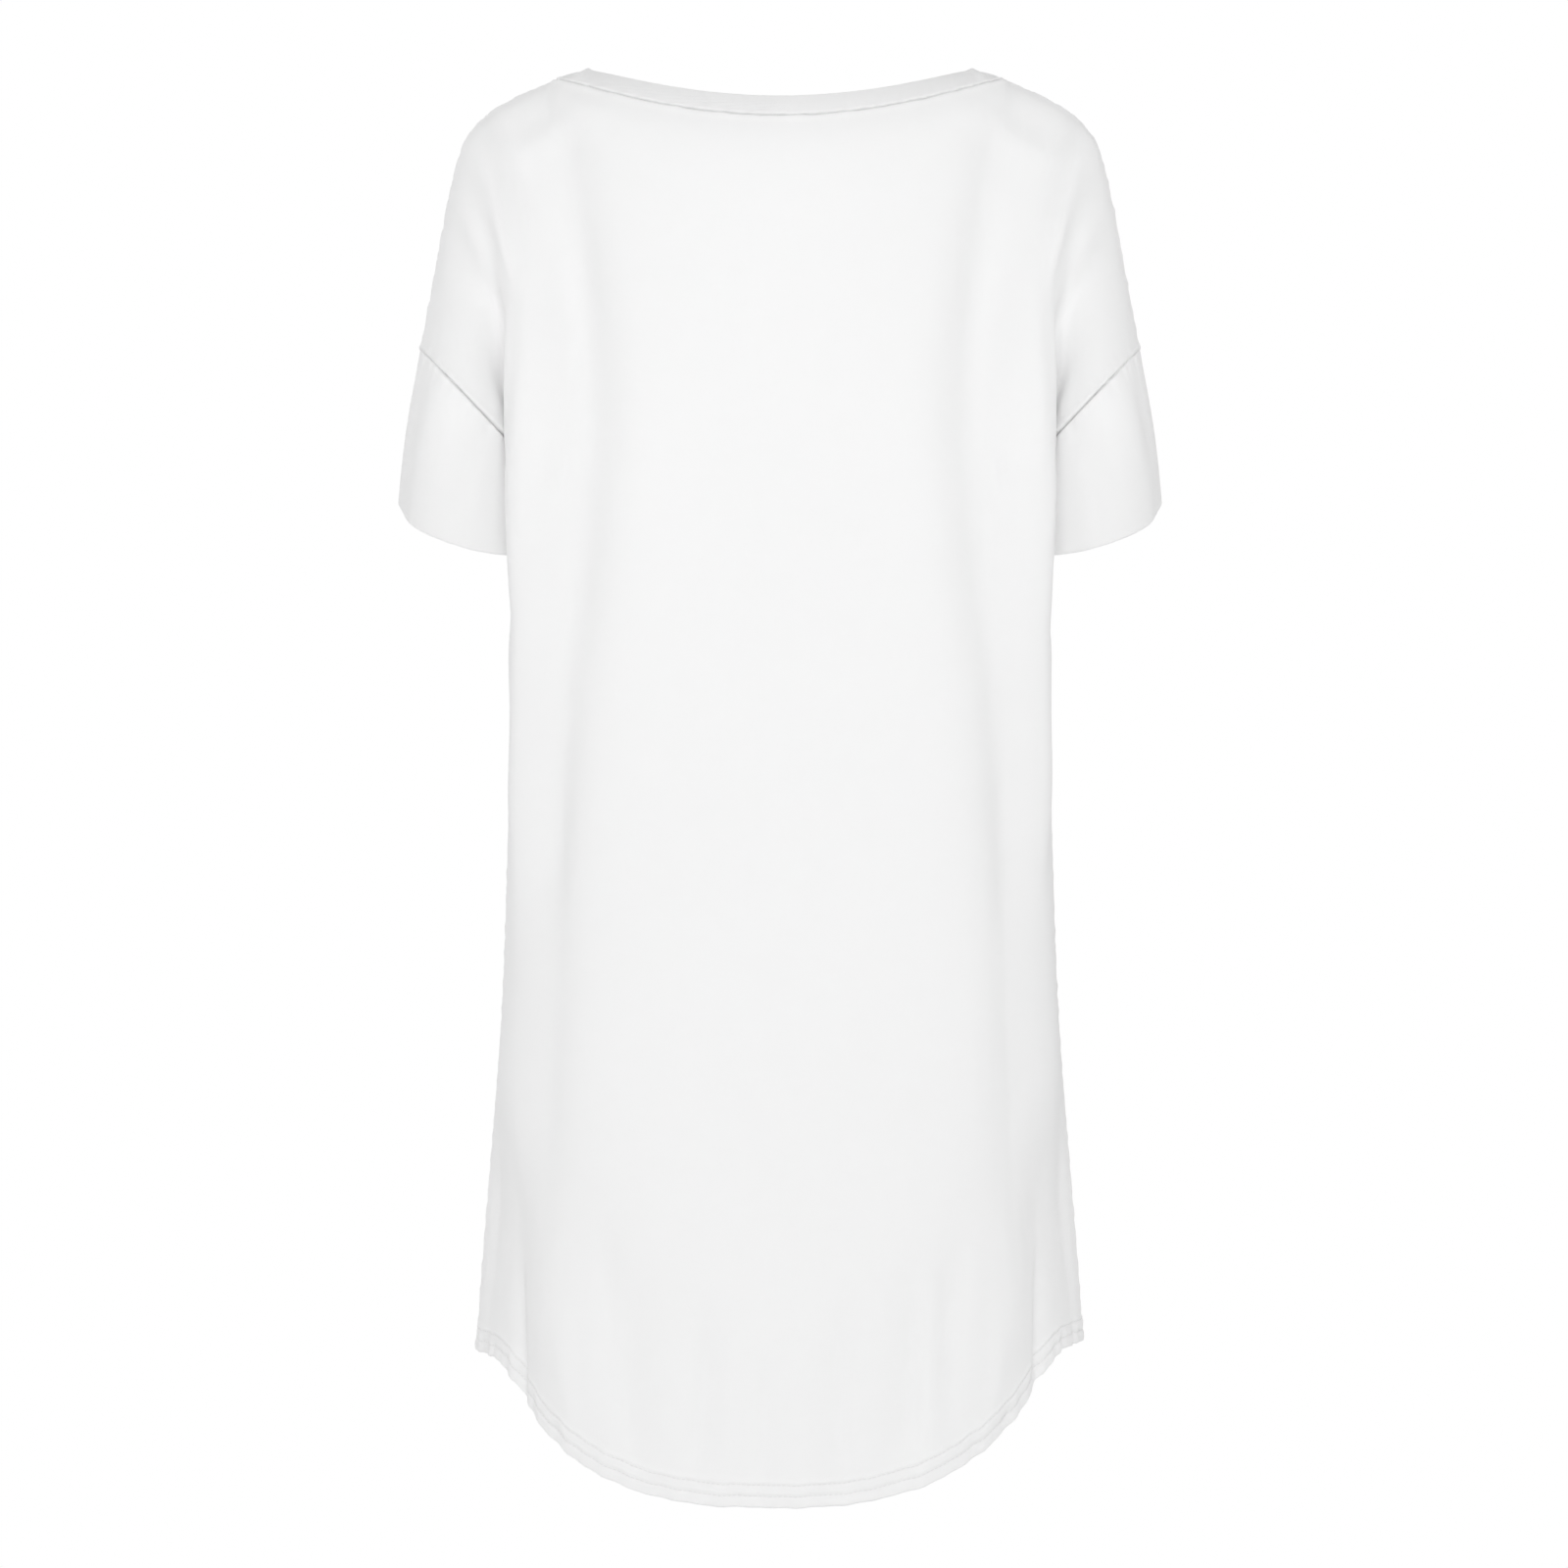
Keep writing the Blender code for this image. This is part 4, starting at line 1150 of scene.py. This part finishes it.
def thread_finish(name, twist, light):
    """Spun thread: fine slanted ridges on its Object position, with painted shade in the grooves
    between them.
    """
    finish, tree, shader = new_finish(name, Roughness=0.7)
    place = add_node(tree, "TexCoord").outputs["Object"]
    wave = add_node(tree, "TexWave", Scale=twist, Vector=place)
    wave.bands_direction = "DIAGONAL"
    ridges = wave.outputs["Fac"]
    bump = add_node(tree, "Bump", Distance=THREAD_RIDGE, Height=ridges)
    # Painted shade: the grooves between the ridges are darker
    tone = grey_between(tree, ridges, light * PAINTED_GROOVE_SHADE, light)
    feed(tree, shader, Base_Color=tone, Normal=bump.outputs["Normal"])
    return finish


WHITE_JERSEY = jersey(
    "white_jersey", light=0.93, shade=0.915, knit_depth=0.04 * MM, dimple_depth=0.6 * MM
)
# The band's jersey is painted lighter than the body's, to make up for the shade that it gets as it
# faces upward
LIGHTENED_BAND_JERSEY = jersey(
    "lightened_band_jersey", light=0.95, shade=0.94, knit_depth=0.045 * MM, dimple_depth=0.5 * MM
)
# The sewing thread is painted darker than white thread, as painted shade along the stitch lines
SHADE_DARKENED_THREAD = thread_finish("shade_darkened_sewing_thread", twist=900, light=0.86)
OVERLOCK = thread_finish("overlocked_edge", twist=420, light=0.86)


def place_piece(piece, finish, replaced=()):
    """Finishes a piece: its material, its body and the nodes that it stands for."""
    piece.data.materials.append(finish)
    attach(piece, BODY)
    if replaced:
        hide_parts(*replaced)
    return piece


# ---- the dress


def build_dress():
    """Makes the cut pieces and the stitches. It also returns the grids that seams lie on."""
    back_yoke, front_yoke, sleeve_form = relaxed_cloth()
    pieces = {}
    seams = {}
    plans = (
        ("back", True, back_yoke, BACK_FOLDS, BACK_CREASES),
        ("front", False, front_yoke, FRONT_FOLDS, FRONT_CREASES),
    )
    for side, back, yoke, folds, creases in plans:
        grid, shade = panel(back, yoke, folds, creases)
        normals = grid_normals(grid)
        name = side + "_panel"
        piece = grid_object(name, *turned_in(grid, normals, shade, HEM_TURN_ROWS), False)
        pieces[name] = place_piece(piece, WHITE_JERSEY, [side])
        seams[name] = grid, normals
        for row, rise in (("upper", UPPER_STITCH), ("lower", LOWER_STITCH)):
            k = np.argmin(np.abs(HEM_RISES - rise))
            name = f"{side}_hem_{row}_stitches"
            sewn = stitches(name, grid[k], normals[k])
            pieces[name] = place_piece(sewn, SHADE_DARKENED_THREAD)

    right, shade = sleeve(sleeve_form)
    left = np.roll(right[:, ::-1], 1, 1) * (-1, 1, 1)
    left_painted_shade = np.roll(shade[:, ::-1], 1, 1)
    band, band_painted_shade = neckband()
    closed_pieces = (
        ("right_sleeve", right, shade, CUFF_TURN_ROWS, WHITE_JERSEY, "jersey", "sleeve_right"),
        ("left_sleeve", left, left_painted_shade, CUFF_TURN_ROWS, WHITE_JERSEY, "jersey", "sleeve_left"),
        ("neck_band", band, band_painted_shade, len(band) - 2, LIGHTENED_BAND_JERSEY, "neckband_jersey", "neckband"),
    )
    for name, grid, shade, turn_rows, finish, slot, node in closed_pieces:
        normals = grid_normals(grid, True)
        piece = grid_object(name, *turned_in(grid, normals, shade, turn_rows), True)
        pieces[name] = place_piece(piece, finish, [node])
        seams[name] = grid[-1], normals[-1]
    return pieces, seams


def build_allowances(seams):
    """The overlocked allowances inside the side, shoulder, armhole and neck seams."""
    grid, normals = seams["back_panel"]
    body = slice(HEM_TURN_ROWS, len(HEM_RISES) + BODY_ROWS - 1)
    across = panel_columns()
    made = {}
    for side, column in (("left", 0), ("right", -1)):
        shoulder = across < -NECK_SHARE if side == "left" else across > NECK_SHARE
        paths = {
            "side": (grid[body, column], normals[body, column], False),
            "shoulder": (grid[-1, shoulder], normals[-1, shoulder], False),
            "armhole": (*seams[side + "_sleeve"], True),
        }
        for seam, path in paths.items():
            name = f"{side}_{seam}_allowance"
            made[name] = allowance(name, *path)
    made["neck_allowance"] = allowance("neck_allowance", *seams["neck_band"], True)
    for piece in made.values():
        place_piece(piece, OVERLOCK)
    return made


# ---- studio

CAMERA_PLACE = (0.0025, -3.0, -0.4526)
LENS_MM = 108.9
FLOOR_HEIGHT = -1.46
FLOOR_SIZE = 14.0
FLOOR_COLOUR = (0.85, 0.85, 0.85, 1)
WHITE = (1.0, 1.0, 1.0, 1.0)
FILL = 0.785
FILL_OVERHEAD = 0.41

# name, place, what it faces, size, power in watts
LAMPS = (
    ("key_light", (0.0, -3.2, 1.1), (0.0, 0.0, 0.55), 2.0, 42.5),
    ("left_light", (-2.3, -1.1, -0.2), (0.0, 0.0, -0.40), 1.4, 9.0),
    ("right_light", (2.3, -1.1, -0.2), (0.0, 0.0, -0.40), 1.4, 9.0),
    ("front_light", (-1.0, 2.9, 0.9), (0.0, 0.0, -0.40), 1.4, 28.0),
)


def white_for_the_eye(tree, kind, surface, lighting):
    """Shows pure white to the eye, and lights the dress with the given shader instead."""
    path = add_node(tree, "LightPath")
    seen = add_node(tree, kind, Color=WHITE)
    mix = tree.nodes.new("ShaderNodeMixShader")
    inputs = (path.outputs["Is Camera Ray"], lighting, seen.outputs[0])
    for socket, value in zip(mix.inputs, inputs):
        feed_socket(tree, socket, value)
    feed_socket(tree, surface, mix.outputs[0])


def build_surround(scene):
    """A bright even surround, dimmed towards overhead in step with the height."""
    scene.world = bpy.data.worlds.new("studio_surround")
    scene.world.use_nodes = True
    tree = scene.world.node_tree
    direction = add_node(tree, "TexCoord").outputs["Generated"]
    height = add_node(tree, "SeparateXYZ", Vector=direction).outputs["Z"]
    dimming = add_node(tree, "MapRange", Value=height, To_Min=1.0, To_Max=FILL_OVERHEAD)
    surround = tree.nodes["Background"]
    feed(tree, surround, Strength=FILL, Color=dimming.outputs[0])
    surface = tree.nodes["World Output"].inputs["Surface"]
    white_for_the_eye(tree, "Background", surface, surround.outputs[0])


def build_floor():
    """A plain pale floor under the dress."""
    corners = np.array(((-1, -1, 0), (1, -1, 0), (1, 1, 0), (-1, 1, 0))) * FLOOR_SIZE / 2
    mesh = bpy.data.meshes.new("floor")
    mesh.from_pydata((corners + (0, 0, FLOOR_HEIGHT)).tolist(), [], [(0, 1, 2, 3)])
    pale, tree, shader = new_finish("pale_floor", Base_Color=FLOOR_COLOUR, Roughness=0.9)
    surface = tree.nodes["Material Output"].inputs["Surface"]
    white_for_the_eye(tree, "Emission", surface, shader.outputs[0])
    mesh.materials.append(pale)
    new_object("floor", mesh)


def build_studio():
    """The surround, the floor, the lamps and the camera."""
    scene = bpy.context.scene
    build_surround(scene)
    build_floor()
    for name, place, target, size, power in LAMPS:
        light = bpy.data.lights.new(name, "AREA")
        light.size = size
        light.energy = power
        lamp = new_object(name, light)
        lamp.location = place
        aim(lamp, np.array(target) - np.array(place))

    camera = new_object("camera", bpy.data.cameras.new("camera"))
    camera.location = CAMERA_PLACE
    camera.rotation_euler = (np.pi / 2, 0, 0)
    camera.data.lens = LENS_MM
    scene.camera = camera
    scene.view_settings.view_transform = "Standard"


def aim(thing, direction):
    """Turns a lamp so that its -Z axis points along a direction."""
    x, y, z = direction
    thing.rotation_euler = (np.arctan2(np.hypot(x, y), -z), 0, np.arctan2(-x, y))


pieces, seams = build_dress()
pieces.update(build_allowances(seams))
build_studio()
